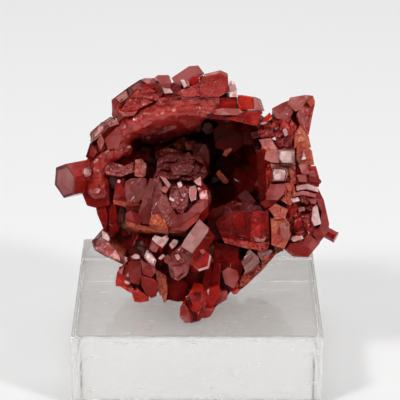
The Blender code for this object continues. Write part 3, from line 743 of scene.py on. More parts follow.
def bevelled(bm: bmesh.types.BMesh, edges: list, width: float, segments: int = 1) -> list:
    """Bevel some edges.

    Args:
        bm: The mesh.
        edges: The edges.
        width: The bevel's width.
        segments: How many faces it is wide.

    Returns:
        The bevel's faces.
    """
    return bmesh.ops.bevel(bm, geom=edges, offset=width, segments=segments, profile=0.5,
                           affect="EDGES", material=-1, clamp_overlap=True)["faces"]


def cut_off(bm: bmesh.types.BMesh, place: Triple, away: Triple) -> None:
    """Cut off all that lies past a plane, and leave the cut open.

    Args:
        bm: The mesh.
        place: A point on the plane.
        away: The way to what is cut off.
    """
    geometry = bm.verts[:] + bm.edges[:] + bm.faces[:]
    bmesh.ops.bisect_plane(bm, geom=geometry, plane_co=place, plane_no=away, clear_outer=True)


def lifted(bm: bmesh.types.BMesh, face: bmesh.types.BMFace, way: Vector) -> bmesh.types.BMFace:
    """Extrude a face.

    Args:
        bm: The mesh.
        face: The face.
        way: How far and in which direction.

    Returns:
        The face at the new end.
    """
    grown_parts = bmesh.ops.extrude_face_region(bm, geom=[face])["geom"]
    moved = [item for item in grown_parts if isinstance(item, bmesh.types.BMVert)]
    bmesh.ops.translate(bm, vec=way, verts=moved)
    return next(item for item in grown_parts if isinstance(item, bmesh.types.BMFace))


def resized(bm: bmesh.types.BMesh, face: bmesh.types.BMFace, scale: float,
            shift: Vector) -> None:
    """Scale a face about its middle and shift it.

    Args:
        bm: The mesh.
        face: The face.
        scale: The new size, as a share of the old.
        shift: How far the face moves.
    """
    about = Matrix.Translation(-face.calc_center_median())
    bmesh.ops.scale(bm, vec=(scale,) * 3, space=about, verts=face.verts)
    bmesh.ops.translate(bm, vec=shift, verts=face.verts)


def middle_of(corners: list[Vector]) -> Vector:
    """The middle of an outline's corners."""
    return sum(corners, Vector()) / len(corners)


def room_in(corners: list[Vector]) -> float:
    """How far the middle of an outline is from its nearest side.

    Args:
        corners: The outline.

    Returns:
        The distance.
    """
    middle = middle_of(corners)
    reach = []
    for i, corner in enumerate(corners):
        along = (corner - corners[i - 1]).normalized()
        to_middle = middle - corners[i - 1]
        reach.append((to_middle - along * to_middle.dot(along)).length)
    return max(min(reach), LEAST_ROOM)


class Facet(IntEnum):
    """The kinds of facet, kept as material numbers while a crystal is shaped."""

    SIDE = 0
    CAP = 1
    RIM = 2


def grown(corners: list[Vector], way: Vector, steps: tuple[Pair, ...],
          rng: random.Random) -> tuple[bmesh.types.BMesh, Vector]:
    """A crystal: a stack of plates from its root to its end face.

    Args:
        corners: The end face's outline.
        way: From the end face to the root.
        steps: Terraces or pits in the end face: (inset, rise) from one to the next.
        rng: The source of chance.

    Returns:
        The mesh and the end face's direction.
    """
    bm = bmesh.new()
    face = bm.faces.new([bm.verts.new(corner + way) for corner in corners])
    face.normal_update()
    if face.normal.dot(way) > 0.0:
        face.normal_flip()
    normal = face.normal.copy()
    room = room_in(corners)
    plates = max(2, min(MOST_PLATES, round(way.length / PLATE)))
    cuts = [0.0] + sorted(rng.random() for _ in range(plates - 1)) + [1.0]
    spread = 1.0
    for i in range(plates - 1):
        face = lifted(bm, face, -way * (cuts[i + 1] - cuts[i]))
        face = lifted(bm, face, Vector())
        wanted = 1.0 if i == plates - 2 else 1.0 - rng.random() * LEDGE / room
        resized(bm, face, wanted / spread, Vector())
        spread = wanted
    face = lifted(bm, face, -way * (cuts[-1] - cuts[-2]))
    for inset, rise in steps:
        face = lifted(bm, face, Vector())
        nearest = room_in([vert.co.copy() for vert in face.verts])
        share = max(LEAST_STEP, 1.0 - inset / max(nearest, 0.01))
        turned = Vector((rng.uniform(-1.0, 1.0), rng.uniform(-1.0, 1.0), 0.0))
        turned *= inset * STEP_SHIFT
        resized(bm, face, share, turned - normal * turned.dot(normal))
        face = lifted(bm, face, normal * rise)
    bmesh.ops.recalc_face_normals(bm, faces=bm.faces)
    for face in bm.faces:
        is_cap = face.normal.dot(normal) > CAP_SLOPE
        face.material_index = Facet.CAP if is_cap else Facet.SIDE
    return bm, normal


def end_face(bm: bmesh.types.BMesh, normal: Vector) -> bmesh.types.BMFace:
    """The face at the very end of a crystal.

    Args:
        bm: The mesh.
        normal: The end face's direction.

    Returns:
        The face.
    """
    bm.normal_update()
    caps = [face for face in bm.faces if face.normal.dot(normal) > LEVEL]
    return max(caps, key=lambda face: face.calc_center_median().dot(normal))


def rimmed(bm: bmesh.types.BMesh, normal: Vector, width: float, towards: Pair) -> None:
    """Cut slanting facets along some edges of the end face.

    Args:
        bm: The crystal.
        normal: The end face's direction.
        width: How wide the slant is.
        towards: The (right, up) way that the slanting edges look, or (0, 0) for all.
    """
    face = end_face(bm, normal)
    middle = face.calc_center_median()
    way = Vector((*towards, 0.0))
    edges = []
    for edge in face.edges:
        along = (edge.verts[1].co - edge.verts[0].co).normalized()
        outward = (edge.verts[0].co + edge.verts[1].co) / 2.0 - middle
        outward -= along * outward.dot(along)
        if way.length == 0.0 or outward.normalized().dot(way.normalized()) > SLANT_SIDE:
            edges.append(edge)
    for slant in bevelled(bm, edges, width):
        slant.material_index = Facet.RIM


@dataclass(frozen=True)
class Break:
    """How an end face breaks up into tilted, stepped facets."""

    spacing: float = 0.14
    fewest: int = 3
    most: int = 34
    tilt: float = 1.8
    ripple: float = 0.25
    at_edge: float = 0.3
    slope_scale: float = 7.3
    step_scale: float = 3.1
    ripple_scale: float = 5.0

    def shape(self, bm: bmesh.types.BMesh, normal: Vector, height: float,
              grain: Triple) -> None:
        """Break an end face.

        Args:
            bm: The crystal.
            normal: The end face's direction.
            height: How rough the break is.
            grain: The facets' size to the right, up and out.
        """
        face = end_face(bm, normal)
        level = face.calc_center_median().dot(normal)
        fan = bmesh.ops.poke(bm, faces=[face])["faces"]
        edges = list({edge for piece in fan for edge in piece.edges})
        longest = max(edge.calc_length() for edge in edges)
        cuts = max(self.fewest, min(self.most, round(longest / self.spacing)))
        bmesh.ops.subdivide_edges(bm, edges=edges, cuts=cuts, use_grid_fill=True)
        bm.normal_update()
        moves = []
        for vert in bm.verts:
            if abs(vert.co.dot(normal) - level) > 1e-4:
                continue
            place = Vector([vert.co[i] / grain[i] for i in range(3)])
            centre = noise.voronoi(place)[1][0]
            slope = noise.noise_vector(centre * self.slope_scale)
            rise = (place - centre).dot(slope) * self.tilt
            rise += noise.noise(centre * self.step_scale)
            rise += self.ripple * noise.noise(vert.co * self.ripple_scale)
            at_edge = any(piece.normal.dot(normal) < LEVEL for piece in vert.link_faces)
            moves.append((vert, height * rise * (self.at_edge if at_edge else 1.0)))
        for vert, rise in moves:
            vert.co += normal * rise


def hexagon(half_width: float, stretch: float, rng: random.Random) -> list[Vector]:
    """Six corners with 120-degree angles, whose sides lie at slightly uneven distances.

    Args:
        half_width: The usual distance from the middle to a side.
        stretch: How much wider the outline is one way.
        rng: The source of chance.

    Returns:
        The corners, round the origin.
    """
    turns = [math.radians(30.0 + 60.0 * i) for i in range(6)]
    reach = [half_width * (1.0 + (stretch - 1.0) * abs(math.cos(t))) * rng.uniform(*UNEVEN)
             for t in turns]
    corners = []
    for i in range(6):
        before, after = turns[i - 1], turns[i]
        spread = math.sin(after - before)
        x = (reach[i - 1] * math.sin(after) - reach[i] * math.sin(before)) / spread
        y = (reach[i] * math.cos(before) - reach[i - 1] * math.cos(after)) / spread
        corners.append(Vector((x, y, 0.0)))
    return corners


@dataclass(frozen=True, kw_only=True)
class Facets:
    """What a crystal's facets are like.

    Front is the finish of the sides that look out, and rim that of the slanting facets.
    Those, chamfer wide, lie along the end face's edges that look towards a (right, up) way.
    Steps are terraces or pits in the end face: (inset, rise) from one to the next. A rough
    end face is broken into stepped facets, rough high and grain big. Shoots are the small
    crystals that grew on the big one.
    """

    front: Skin | None = None
    rim: Skin | None = None
    chamfer: float = 0.0
    towards: Pair = (0.0, 0.0)
    steps: tuple[Pair, ...] = ()
    rough: float = 0.0
    grain: Triple = (0.8, 0.6, 0.8)
    shoots: int = 0


@dataclass(frozen=True)
class Prism(Facets):
    """A six-sided crystal. Its axis points from its root to its end face."""

    end: Triple
    axis: Triple
    half_width: float
    length: float
    cap: Skin = CLEAN
    side: Skin = RED
    roll: float = 0.0
    stretch: float = 1.0

    def corners(self, rng: random.Random) -> list[Vector]:
        """The end face's outline."""
        lean = OUTWARD.rotation_difference(Vector(self.axis).normalized()).to_matrix()
        turn = lean @ Matrix.Rotation(math.radians(self.roll), 3, "Z")
        middle = Vector(self.end)
        return [middle + turn @ c for c in hexagon(self.half_width, self.stretch, rng)]

    def way(self) -> Vector:
        """From the end face to the root."""
        return -Vector(self.axis).normalized() * self.length


@dataclass(frozen=True)
class Slab(Facets):
    """A crystal that shows one flat face and runs straight back from it to its root.

    out is the face's height at the middle of its outline, slope is how fast that height
    changes to the right and up, and root is the way from the face to the root.
    """

    outline: tuple[Pair, ...]
    out: float
    slope: Pair
    root: Triple
    cap: Skin = CLEAN
    side: Skin = RED

    def corners(self, _: random.Random) -> list[Vector]:
        """The end face's outline."""
        middle_x = sum(x for x, _ in self.outline) / len(self.outline)
        middle_y = sum(y for _, y in self.outline) / len(self.outline)
        found = []
        for x, y in self.outline:
            rise = self.slope[0] * (x - middle_x) + self.slope[1] * (y - middle_y)
            found.append(Vector((x, y, self.out + rise)))
        return found

    def way(self) -> Vector:
        """From the end face to the root."""
        return Vector(self.root)


Crystal = Prism | Slab


@dataclass(frozen=True)
class Shoots:
    """The small crystals that grow on a big one, all turned as it is."""

    width: Pair = (0.16, 0.5)
    widest: float = 0.5
    root: float = 0.9
    on_face: float = 0.35
    lift: Pair = (0.03, 0.12)
    deepest: float = 2.2
    depth_share: float = 0.6
    along: Pair = (0.1, 0.9)
    inset: Pair = (0.55, 0.95)
    over_face: Pair = (0.2, 0.9)
    out_again: Pair = (0.5, 1.0)
    stretch: Pair = (1.0, 1.8)

    def of(self, crystal: Crystal, corners: list[Vector], normal: Vector,
           rng: random.Random) -> list[Prism]:
        """Lay the small crystals out.

        Args:
            crystal: The big crystal.
            corners: Its end face's outline.
            normal: Its end face's direction.
            rng: The source of chance.

        Returns:
            The small crystals.
        """
        middle = middle_of(corners)
        room = room_in(corners)
        side = (corners[1] - corners[0]).normalized()
        base = OUTWARD.rotation_difference(normal).to_matrix() @ Vector((1, 0, 0))
        roll = math.degrees(math.atan2(normal.dot(base.cross(side)), base.dot(side)))
        down = crystal.way().normalized()
        deepest = min(self.deepest, crystal.way().length * self.depth_share)
        found = []
        for _ in range(crystal.shoots):
            i = rng.randrange(len(corners))
            on_side = corners[i - 1].lerp(corners[i], rng.uniform(*self.along))
            size = min(room * self.widest, rng.uniform(*self.width))
            inward = (middle - on_side).normalized() * size * rng.uniform(*self.inset)
            place = on_side + inward
            if rng.random() < self.on_face:
                place = place.lerp(middle, rng.uniform(*self.over_face))
                place += normal * rng.uniform(*self.lift)
            else:
                place += down * rng.uniform(0.1, deepest)
                place -= inward * rng.uniform(*self.out_again)
            found.append(Prism(tuple(place), tuple(normal), size, size + self.root, crystal.cap,
                               crystal.side, roll=roll, stretch=rng.uniform(*self.stretch)))
        return found


class ClumpMesh:
    """Collects crystals in one mesh, with a material slot for each finish used."""

    def __init__(self, seed: int) -> None:
        """Start empty.

        Args:
            seed: The seed for the clump's small unevenness.
        """
        self.bm = bmesh.new()
        self.skins: list[Skin] = []
        self.rng = random.Random(seed)

    def skin_index(self, skin: Skin) -> int:
        """The material slot of a finish."""
        if skin not in self.skins:
            self.skins.append(skin)
        return self.skins.index(skin)

    def add(self, crystal: Crystal, seed: int | None = None) -> None:
        """Grow a crystal and the small ones on it.

        Args:
            crystal: The crystal.
            seed: The seed of its outline, if not the clump's.
        """
        shape_rng = self.rng if seed is None else random.Random(seed)
        corners = crystal.corners(shape_rng)
        bm, normal = grown(corners, crystal.way(), crystal.steps, self.rng)
        if crystal.chamfer:
            rimmed(bm, normal, crystal.chamfer, crystal.towards)
        bevelled(bm, [edge for edge in bm.edges if edge.calc_face_angle(0.0) > SHARP],
                 SOFT_EDGE)
        if crystal.rough:
            Break().shape(bm, normal, crystal.rough, crystal.grain)
        self.dress(bm, crystal, normal)
        pour(bm, self.bm)
        for shoot in Shoots().of(crystal, corners, normal, self.rng):
            self.add(shoot)

    def dress(self, bm: bmesh.types.BMesh, crystal: Crystal, normal: Vector) -> None:
        """Give a crystal's facets their finishes and their growth coordinates.

        Args:
            bm: The crystal's mesh.
            crystal: The crystal.
            normal: The end face's direction.
        """
        bm.normal_update()
        growth = bm.loops.layers.uv.new(GROWTH_MAP)
        skins = {Facet.CAP: self.skin_index(crystal.cap),
                 Facet.SIDE: self.skin_index(crystal.side),
                 Facet.RIM: self.skin_index(crystal.rim or crystal.cap)}
        front = self.skin_index(crystal.front or crystal.side)
        across = normal.orthogonal().normalized()
        for face in bm.faces:
            is_cap = face.material_index == Facet.CAP
            is_side = face.material_index == Facet.SIDE
            face.material_index = skins[face.material_index]
            if is_side and face.normal.dot(OUTWARD) > FRONT_SLOPE:
                face.material_index = front
            width = across if is_cap else normal.cross(face.normal).normalized()
            height = normal.cross(across) if is_cap else normal
            for loop in face.loops:
                point = loop.vert.co
                loop[growth].uv = (point.dot(width), point.dot(height))

    def finish(self, name: str, workshop: Workshop) -> bpy.types.Object:
        """Turn the mesh into a piece.

        Args:
            name: The piece's name.
            workshop: Places the mesh and gives the materials.

        Returns:
            The piece.
        """
        obj = workshop.piece(name, self.bm)
        for skin in self.skins:
            obj.data.materials.append(workshop.skin(skin))
        return obj


@dataclass
class Workshop:
    """Places meshes in the room and keeps the materials."""

    block_top: float
    centre: Triple = (-0.16, -2.1, 13.9)
    foot_gap: float = 0.03 * MM
    materials: dict[str, bpy.types.Material] = field(default_factory=dict)

    def __post_init__(self) -> None:
        """Make the shared node groups."""
        self.effects = Effects(self.place())

    def place(self) -> Matrix:
        """The matrix from the specimen's millimetres to the room's metres."""
        right = Vector((1.0, 0.0, 0.0))
        up = Vector((0.0, math.sin(LEAN), math.cos(LEAN)))
        out = Vector((0.0, -math.cos(LEAN), math.sin(LEAN)))
        turn = Matrix((right, up, out)).transposed().to_4x4()
        middle = Vector(self.centre) + Vector((0.0, 0.0, self.block_top / MM))
        return Matrix.Scale(MM, 4) @ Matrix.Translation(middle) @ turn

    def piece(self, name: str, bm: bmesh.types.BMesh) -> bpy.types.Object:
        """Make a piece from a mesh in the specimen's frame, and use the mesh up.

        It is cut off flat where it would reach the block.

        Args:
            name: The piece's name.
            bm: The mesh.

        Returns:
            The piece.
        """
        bm.transform(self.place())
        level = self.block_top + self.foot_gap
        if min(vert.co.z for vert in bm.verts) <= level:
            cut_off(bm, (0.0, 0.0, level), (0.0, 0.0, -1.0))
            rim = [edge for edge in bm.edges if edge.is_boundary]
            bmesh.ops.holes_fill(bm, edges=rim, sides=0)
        obj = new_object(name, bm)
        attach(obj, BODY)
        return obj

    def painted(self, name: str, finish: CrystalFinish | RockFinish) -> bpy.types.Material:
        """The material of a finish, made once."""
        if name not in self.materials:
            self.materials[name] = finish.material(name, self.effects)
        return self.materials[name]

    def skin(self, skin: Skin) -> bpy.types.Material:
        """The material of a facet's finish."""
        return self.painted(f"vanadinite_{skin.name.lower()}", skin.value)


# ------------------------------------------------------------------- the crystals, by clump


@dataclass(frozen=True)
class Clump:
    """Crystals that have grown into each other."""

    node: str
    crystals: tuple[Crystal, ...]
    seed: int

    def build(self, workshop: Workshop) -> bpy.types.Object:
        """Grow the clump in the place of its plain solid.

        Args:
            workshop: Places the mesh and gives the materials.

        Returns:
            The piece.
        """
        mesh = ClumpMesh(self.seed)
        for index, crystal in enumerate(self.crystals):
            mesh.add(crystal, index)
        obj = mesh.finish(f"{self.node}_grown", workshop)
        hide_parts(self.node)
        return obj


LEANING_CRYSTAL = Clump("leaning_crystal", (
    Slab(((0.4, -3.3), (1.65, -4.4), (1.5, -4.9), (-0.4, -7.6), (-1.9, -6.7), (-1.4, -5.8)), 6.4,
         (0.0, -0.10), (0.2, -0.6, -3.0), ASH, WINE),
    Slab(((1.6, -4.4), (2.4, -5.5), (1.6, -7.0), (0.1, -8.7), (-0.4, -7.6), (1.4, -4.9)), 5.7,
         (-0.9, -0.3), (0.0, -0.4, -3.0), WINE, WINE, shoots=1),
    Slab(((-1.9, -6.7), (-0.4, -7.6), (-0.7, -9.0), (-1.2, -10.4), (-2.3, -11.1), (-3.2, -10.5),
          (-3.5, -9.0), (-3.0, -7.5)), 6.2, (0.0, 0.15), (0.3, 0.4, -4.0), PLUM, RUST, rough=0.18,
         grain=(1.0, 0.8, 0.9), shoots=2),
    Slab(((-2.7, -7.8), (-2.2, -7.6), (-1.9, -8.2), (-2.3, -8.5)), 6.7, (0.2, -0.6),
         (0.0, -0.3, -1.0), PALE),
    Slab(((-2.9, -9.3), (-1.7, -9.3), (-1.7, -10.0), (-2.6, -10.6)), 6.5, (0.1, 0.3),
         (0.0, 0.3, -1.0), BLUSH, rough=0.15, grain=(0.4, 0.3, 0.4)),
    Prism((0.9, -4.9, 5.0), (0.52, 0.80, 0.24), 1.0, 6.0, WINE, WINE, roll=20, stretch=1.15),
), 101)

SMALL_HEX_CRYSTAL = Clump("small_hex_crystal", (
    Prism((0.7, -8.5, 6.4), (0.22, 0.05, 1.0), 1.25, 4.2, RED, SHEEN, rim=PALE, chamfer=0.35,
          towards=(0.8, -0.6), roll=18),
    Slab(((0.4, -7.2), (0.9, -7.0), (1.2, -7.5), (0.7, -7.7)), 6.8, (0.1, -0.4), (0.0, -0.2, -1.0),
         BLUSH),
), 102)

CENTRAL_CRYSTAL = Clump("central_crystal", (
    Prism((-2.6, -0.5, 4.3), (-0.04, 0.40, 0.92), 3.7, 2.8, RED, RUST, rough=0.55,
          grain=(0.9, 0.7, 0.9), roll=4, stretch=1.04, shoots=3),
    Slab(((-5.8, 1.9), (-6.3, 0.4), (-7.2, -2.2), (-7.2, -3.3), (-6.8, -3.8), (-5.8, -3.9),
          (-5.7, -2.7), (-5.6, -0.4), (-5.1, 1.5)), 5.6, (0.06, 0.0), (0.1, -1.3, -3.0), PLUM,
         RUST, shoots=1),
    Slab(((-5.7, 1.6), (-4.7, 2.1), (-3.9, 0.4), (-3.3, -1.3), (-2.5, -2.7), (-3.4, -4.2),
          (-5.6, -3.9), (-5.8, -0.9)), 5.4, (0.0, -0.20), (0.1, -1.3, -3.0), PLUM, rough=0.18,
         grain=(1.1, 1.5, 1.2)),
    Slab(((-1.0, -2.3), (0.4, -0.8), (1.5, -0.9), (1.5, -1.6), (0.6, -2.5), (-0.8, -2.5)), 5.9,
         (0.05, -0.15), (0.1, -1.3, -3.0)),
    Slab(((-3.5, -4.2), (-2.7, -2.8), (-0.8, -2.4), (0.4, -2.5), (-1.3, -3.6), (-2.0, -4.1)), 6.3,
         (0.0, -0.10), (0.1, -1.3, -3.0), PLUM),
    Slab(((-2.0, -4.1), (0.5, -2.5), (0.1, -3.5), (-1.3, -4.8), (-3.3, -4.6)), 6.1, (0.1, 0.30),
         (0.1, -0.9, -3.0), RED, RUST),
    Slab(((-5.9, -3.8), (-3.5, -4.5), (-3.9, -3.3), (-4.8, -2.6), (-5.7, -3.0)), 6.2, (0.0, 0.0),
         (0.1, -1.3, -3.0), EMBER, RUST, rough=0.2, grain=(0.7, 0.6, 0.6)),
    Slab(((0.6, 1.9), (1.4, 0.4), (1.6, -0.9), (0.5, -0.8), (0.2, 0.5)), 5.3, (0.3, -0.2),
         (0.1, -1.3, -3.0), RED),
    Slab(((-8.9, -2.6), (-8.3, -2.2), (-7.2, -2.7), (-7.0, -3.9), (-7.6, -4.2), (-8.9, -3.7)), 4.9,
         (0.1, 0.0), (0.3, -1.0, -3.0), side=RUST),
    Slab(((-8.8, -3.6), (-7.2, -4.0), (-4.2, -4.5), (-1.6, -4.8), (-1.8, -5.1), (-4.4, -5.0),
          (-7.4, -4.6), (-8.7, -4.1)), 4.9, (0.0, 0.1), (0.2, 0.4, -3.0), RUST, RUST, rough=0.05),
    Slab(((-4.6, 2.2), (-3.8, 1.9), (-3.2, 1.1), (-3.4, 0.6), (-4.0, 1.3)), 5.7, (0.1, -0.5),
         (0.1, -0.5, -1.5), ASH),
    Slab(((-4.4, 0.6), (-3.8, 1.0), (-3.4, 0.6), (-3.8, 0.0), (-4.4, 0.3)), 5.7, (0.1, -0.5),
         (0.1, -0.5, -1.5), BLUSH),
    Slab(((-2.4, 1.3), (-1.9, 1.5), (-1.7, 0.9), (-2.2, 0.6)), 5.5, (0.1, -0.5), (0.1, -0.5, -1.5),
         PALE),
    Slab(((-0.8, 0.8), (-0.1, 1.0), (0.1, 0.4), (0.0, -0.8), (-0.6, -1.0), (-0.9, -0.3)), 5.7,
         (0.2, -0.4), (0.1, -0.5, -1.5), BLUSH, rim=PALE, chamfer=0.15),
    Slab(((-0.3, 1.5), (0.6, 2.1), (0.7, 0.9), (0.25, 1.0)), 5.6, (0.1, -0.5), (0.1, -0.5, -1.5),
         PALE),
    Slab(((-3.3, -0.5), (-2.7, -0.8), (-2.8, -1.1), (-3.4, -0.8)), 5.8, (0.1, -0.5),
         (0.1, -0.5, -1.5), PALE),
    Slab(((-2.0, -0.8), (-1.6, -0.7), (-1.7, -1.1)), 5.8, (0.1, -0.5), (0.1, -0.5, -1.0), PALE),
    Slab(((-3.2, 0.8), (-0.7, 0.9), (-1.0, -1.6), (-1.8, -2.7), (-3.0, -1.8), (-3.4, -0.8)), 5.45,
         (0.0, -0.1), (0.1, -1.0, -2.0), PLUM, WINE, rough=0.3, grain=(0.8, 0.8, 0.8)),
    Slab(((-5.2, 1.9), (-4.9, 4.3), (-3.2, 5.0), (-1.4, 4.9), (0.9, 4.2), (1.5, 2.4), (0.6, 1.5),
          (-3.6, 1.7)), 3.9, (0.0, -0.35), (0.0, 0.4, -5.0), DUSKY, DARK, rough=0.45,
         grain=(1.5, 1.1, 1.3), shoots=3),
    Slab(((-3.4, 3.6), (-1.6, 4.1), (-0.2, 3.4), (-0.8, 2.3), (-2.9, 2.2)), 4.6, (0.1, -0.2),
         (0.0, 0.2, -3.0), DUSKY, DARK, rough=0.15, shoots=1),
    Slab(((-10.6, -0.9), (-10.2, 1.5), (-9.2, 1.9), (-8.8, -1.1)), 3.2, (0.25, -0.1),
         (0.2, -0.2, -4.0), WINE, RUST),
    Slab(((-9.2, -1.1), (-9.0, 1.5), (-8.2, 1.9), (-6.3, 1.9), (-6.2, 0.4), (-7.2, -1.2)), 3.4,
         (0.06, -0.10), (0.2, -0.2, -4.0), PLUM, RUST, shoots=1),
    Slab(((-10.6, -0.9), (-7.2, -1.2), (-7.0, -1.6), (-8.6, -1.9), (-10.4, -1.4)), 3.4, (0.0, 0.2),
         (0.2, 0.2, -3.0), RUST, RUST, rough=0.05),
    Slab(((-8.9, -1.6), (-7.1, -1.7), (-7.3, -2.6), (-8.3, -2.2), (-8.8, -2.5)), 3.4, (-0.1, -0.1),
         (0.2, 0.2, -4.0), WINE),
), 103)

LOWER_CRYSTALS = Clump("lower_crystals", (
    Slab(((-10.3, -11.3), (-10.1, -10.1), (-9.4, -9.2), (-8.7, -9.1), (-8.4, -11.6), (-7.7, -12.5),
          (-8.3, -12.8), (-9.7, -12.0), (-10.3, -11.9)), 2.3, (0.2, 0.0), (0.4, 0.5, -3.5), GLOW,
         rough=0.12, grain=(1.0, 0.8, 0.8), shoots=1),
    Slab(((-9.9, -10.0), (-9.2, -9.3), (-9.4, -10.5)), 2.8, (0.2, -0.1), (0.2, 0.2, -1.5), BLUSH),
    Slab(((-9.1, -11.1), (-8.3, -11.4), (-8.6, -11.7), (-9.1, -11.5)), 3.0, (0.1, -0.5),
         (0.1, -0.2, -1.0), PALE),
    Slab(((-8.9, -10.6), (-8.6, -10.0), (-8.5, -10.7)), 3.1, (0.3, -0.2), (0.1, -0.2, -1.0), PALE),
    Slab(((-8.6, -8.8), (-7.0, -8.3), (-6.9, -10.5), (-7.2, -11.7), (-8.3, -11.4), (-8.6, -10.0)),
         3.4, (0.18, -0.05), (0.2, 0.4, -4.5), shoots=1),
    Slab(((-7.0, -8.4), (-6.4, -8.8), (-5.2, -9.4), (-5.0, -10.0), (-5.6, -10.7), (-6.7, -10.3)),
         4.5, (0.1, 0.05), (0.2, 0.3, -5.0), shoots=1),
    Slab(((-6.9, -10.4), (-5.5, -10.8), (-4.8, -11.3), (-5.0, -13.1), (-5.7, -13.4), (-6.5, -12.6),
          (-6.9, -11.7)), 4.2, (0.1, 0.05), (0.2, 0.6, -4.5), side=GLOW),
    Slab(((-5.2, -9.6), (-3.8, -10.5), (-3.6, -12.4), (-4.6, -13.1), (-5.0, -11.7)), 3.7,
         (-0.1, 0.1), (0.0, 0.6, -4.0), RUST, rough=0.15, grain=(0.5, 0.8, 0.6), shoots=1),
    Slab(((-5.6, -5.8), (-5.2, -5.3), (-4.3, -5.6), (-3.7, -5.2), (-3.4, -5.8), (-4.2, -6.9),
          (-5.0, -6.4)), 4.4, (0.2, -0.5), (-0.9, -2.6, -2.6), PALE),
    Slab(((-3.4, -6.5), (-2.8, -5.8), (-2.2, -6.0), (-2.5, -6.7), (-3.0, -7.1)), 4.7, (0.2, -0.5),
         (-0.5, -2.0, -2.6), PALE),
    Slab(((-6.2, -7.2), (-5.6, -7.7), (-5.0, -8.4), (-5.2, -9.3), (-6.0, -8.8), (-6.6, -8.1)), 5.0,
         (0.2, -0.4), (0.0, -0.8, -2.6), PALE, steps=((0.15, 0.08),)),
    Slab(((-4.8, -8.3), (-4.2, -7.7), (-3.9, -7.9), (-4.3, -8.4)), 5.0, (0.1, -0.5),
         (-0.2, -1.0, -2.6), PALE),
    Slab(((-8.3, -8.1), (-7.7, -7.7), (-7.2, -7.9), (-7.1, -8.3), (-7.7, -8.4)), 3.8, (0.1, -0.5),
         (-0.1, -0.6, -2.6), PALE),
    Slab(((-5.9, -6.9), (-5.3, -6.2), (-4.6, -6.7), (-5.0, -7.5), (-5.6, -7.4)), 4.4, (0.1, -0.3),
         (-0.4, -1.5, -2.6)),
    Slab(((-8.2, -12.8), (-7.4, -12.1), (-6.1, -13.3), (-6.0, -13.8), (-7.0, -14.0),
          (-7.9, -13.9)), 2.7, (0.1, 0.1), (0.2, 1.0, -3.0), GLOW, GLOW, rough=0.1, shoots=1),
    Slab(((-4.6, -12.4), (-3.6, -12.4), (-3.8, -13.9), (-4.1, -14.0)), 3.1, (0.0, 0.1),
         (0.0, 0.8, -2.5), RUST, GLOW),
    Slab(((-4.8, -11.0), (-2.3, -10.4), (-0.9, -11.8), (-1.4, -13.8), (-2.3, -13.9),
          (-3.8, -13.6)), 2.4, (0.0, 0.05), (0.0, 0.6, -3.5), DARK, shoots=2),
    Slab(((-9.4, -8.6), (-3.4, -7.6), (-3.0, -12.4), (-6.0, -12.8), (-8.8, -12.0)), 1.6,
         (0.0, 0.0), (0.0, 0.8, -3.0), WINE, shoots=2),
    Slab(((-7.4, -5.2), (-3.6, -5.0), (-1.6, -6.2), (-2.6, -8.4), (-6.4, -8.4), (-8.4, -7.6)), 1.9,
         (0.0, -0.2), (0.0, 0.4, -3.0), DARK, DARK, rough=0.3, grain=(1.2, 1.2, 1.0), shoots=1),
), 104)

BOTTOM_TIP = Clump("bottom_tip", (
    Slab(((-2.0, -14.4), (-1.5, -14.0), (-1.0, -14.8), (-0.6, -16.3), (-1.3, -16.5),
          (-2.1, -15.7)), 5.0, (0.1, 0.05), (0.5, 0.9, -2.5), side=GLOW, rough=0.08, shoots=1),
    Slab(((-1.2, -13.3), (-0.6, -12.3), (0.6, -12.5), (1.3, -13.6), (1.2, -15.2), (0.5, -16.2),
          (-0.7, -16.5)), 4.7, (-0.1, 0.05), (0.3, 0.9, -2.5), RED, GLOW, rough=0.1,
         grain=(0.8, 1.6, 0.8), shoots=1),
    Slab(((0.4, -15.8), (0.2, -15.3), (1.1, -14.7), (2.4, -14.7), (1.8, -15.7), (1.2, -15.9)), 4.6,
         (0.1, 0.0), (0.1, 0.9, -2.5), side=GLOW),
    Slab(((2.2, -13.6), (2.9, -12.5), (4.0, -12.5), (4.0, -13.5), (2.9, -14.2), (2.2, -14.2)), 3.4,
         (0.1, -0.05), (-0.2, 0.6, -2.5)),
    Slab(((3.3, -10.0), (4.1, -9.5), (5.3, -9.9), (5.5, -10.8), (4.8, -12.2), (3.7, -11.6)), 3.0,
         (0.1, -0.1), (0.0, 0.4, -3.0), shoots=1),
    Slab(((0.9, -12.6), (2.9, -11.6), (3.2, -12.6), (2.2, -14.4), (1.0, -14.6)), 3.9, (0.0, 0.0),
         (0.0, 0.6, -2.5), RED, shoots=2),
    Slab(((1.3, -8.8), (1.9, -8.7), (2.1, -11.4), (1.2, -12.6), (0.8, -11.4)), 2.7, (0.1, 0.0),
         (0.0, 0.3, -3.0), WINE),
    Slab(((2.4, -8.9), (3.2, -8.9), (3.0, -11.6), (2.1, -12.6), (1.9, -11.0)), 2.9, (0.2, 0.0),
         (0.0, 0.3, -3.0), WINE),
    Slab(((1.4, -12.4), (1.7, -12.1), (1.6, -13.0)), 4.2, (0.0, -0.3), (0.0, 0.0, -0.8), PALE),
    Prism((5.2, -12.6, 2.4), (0.60, -0.62, 0.50), 0.5, 2.4, GLOW),
    Slab(((-1.6, -10.4), (0.5, -9.2), (5.0, -8.2), (6.2, -9.0), (5.5, -11.2), (4.0, -13.2),
          (2.1, -15.0), (0.6, -15.2), (-0.8, -13.0)), 2.0, (0.05, 0.0), (0.2, 1.4, -4.5), DARK,
         shoots=3),
), 105)

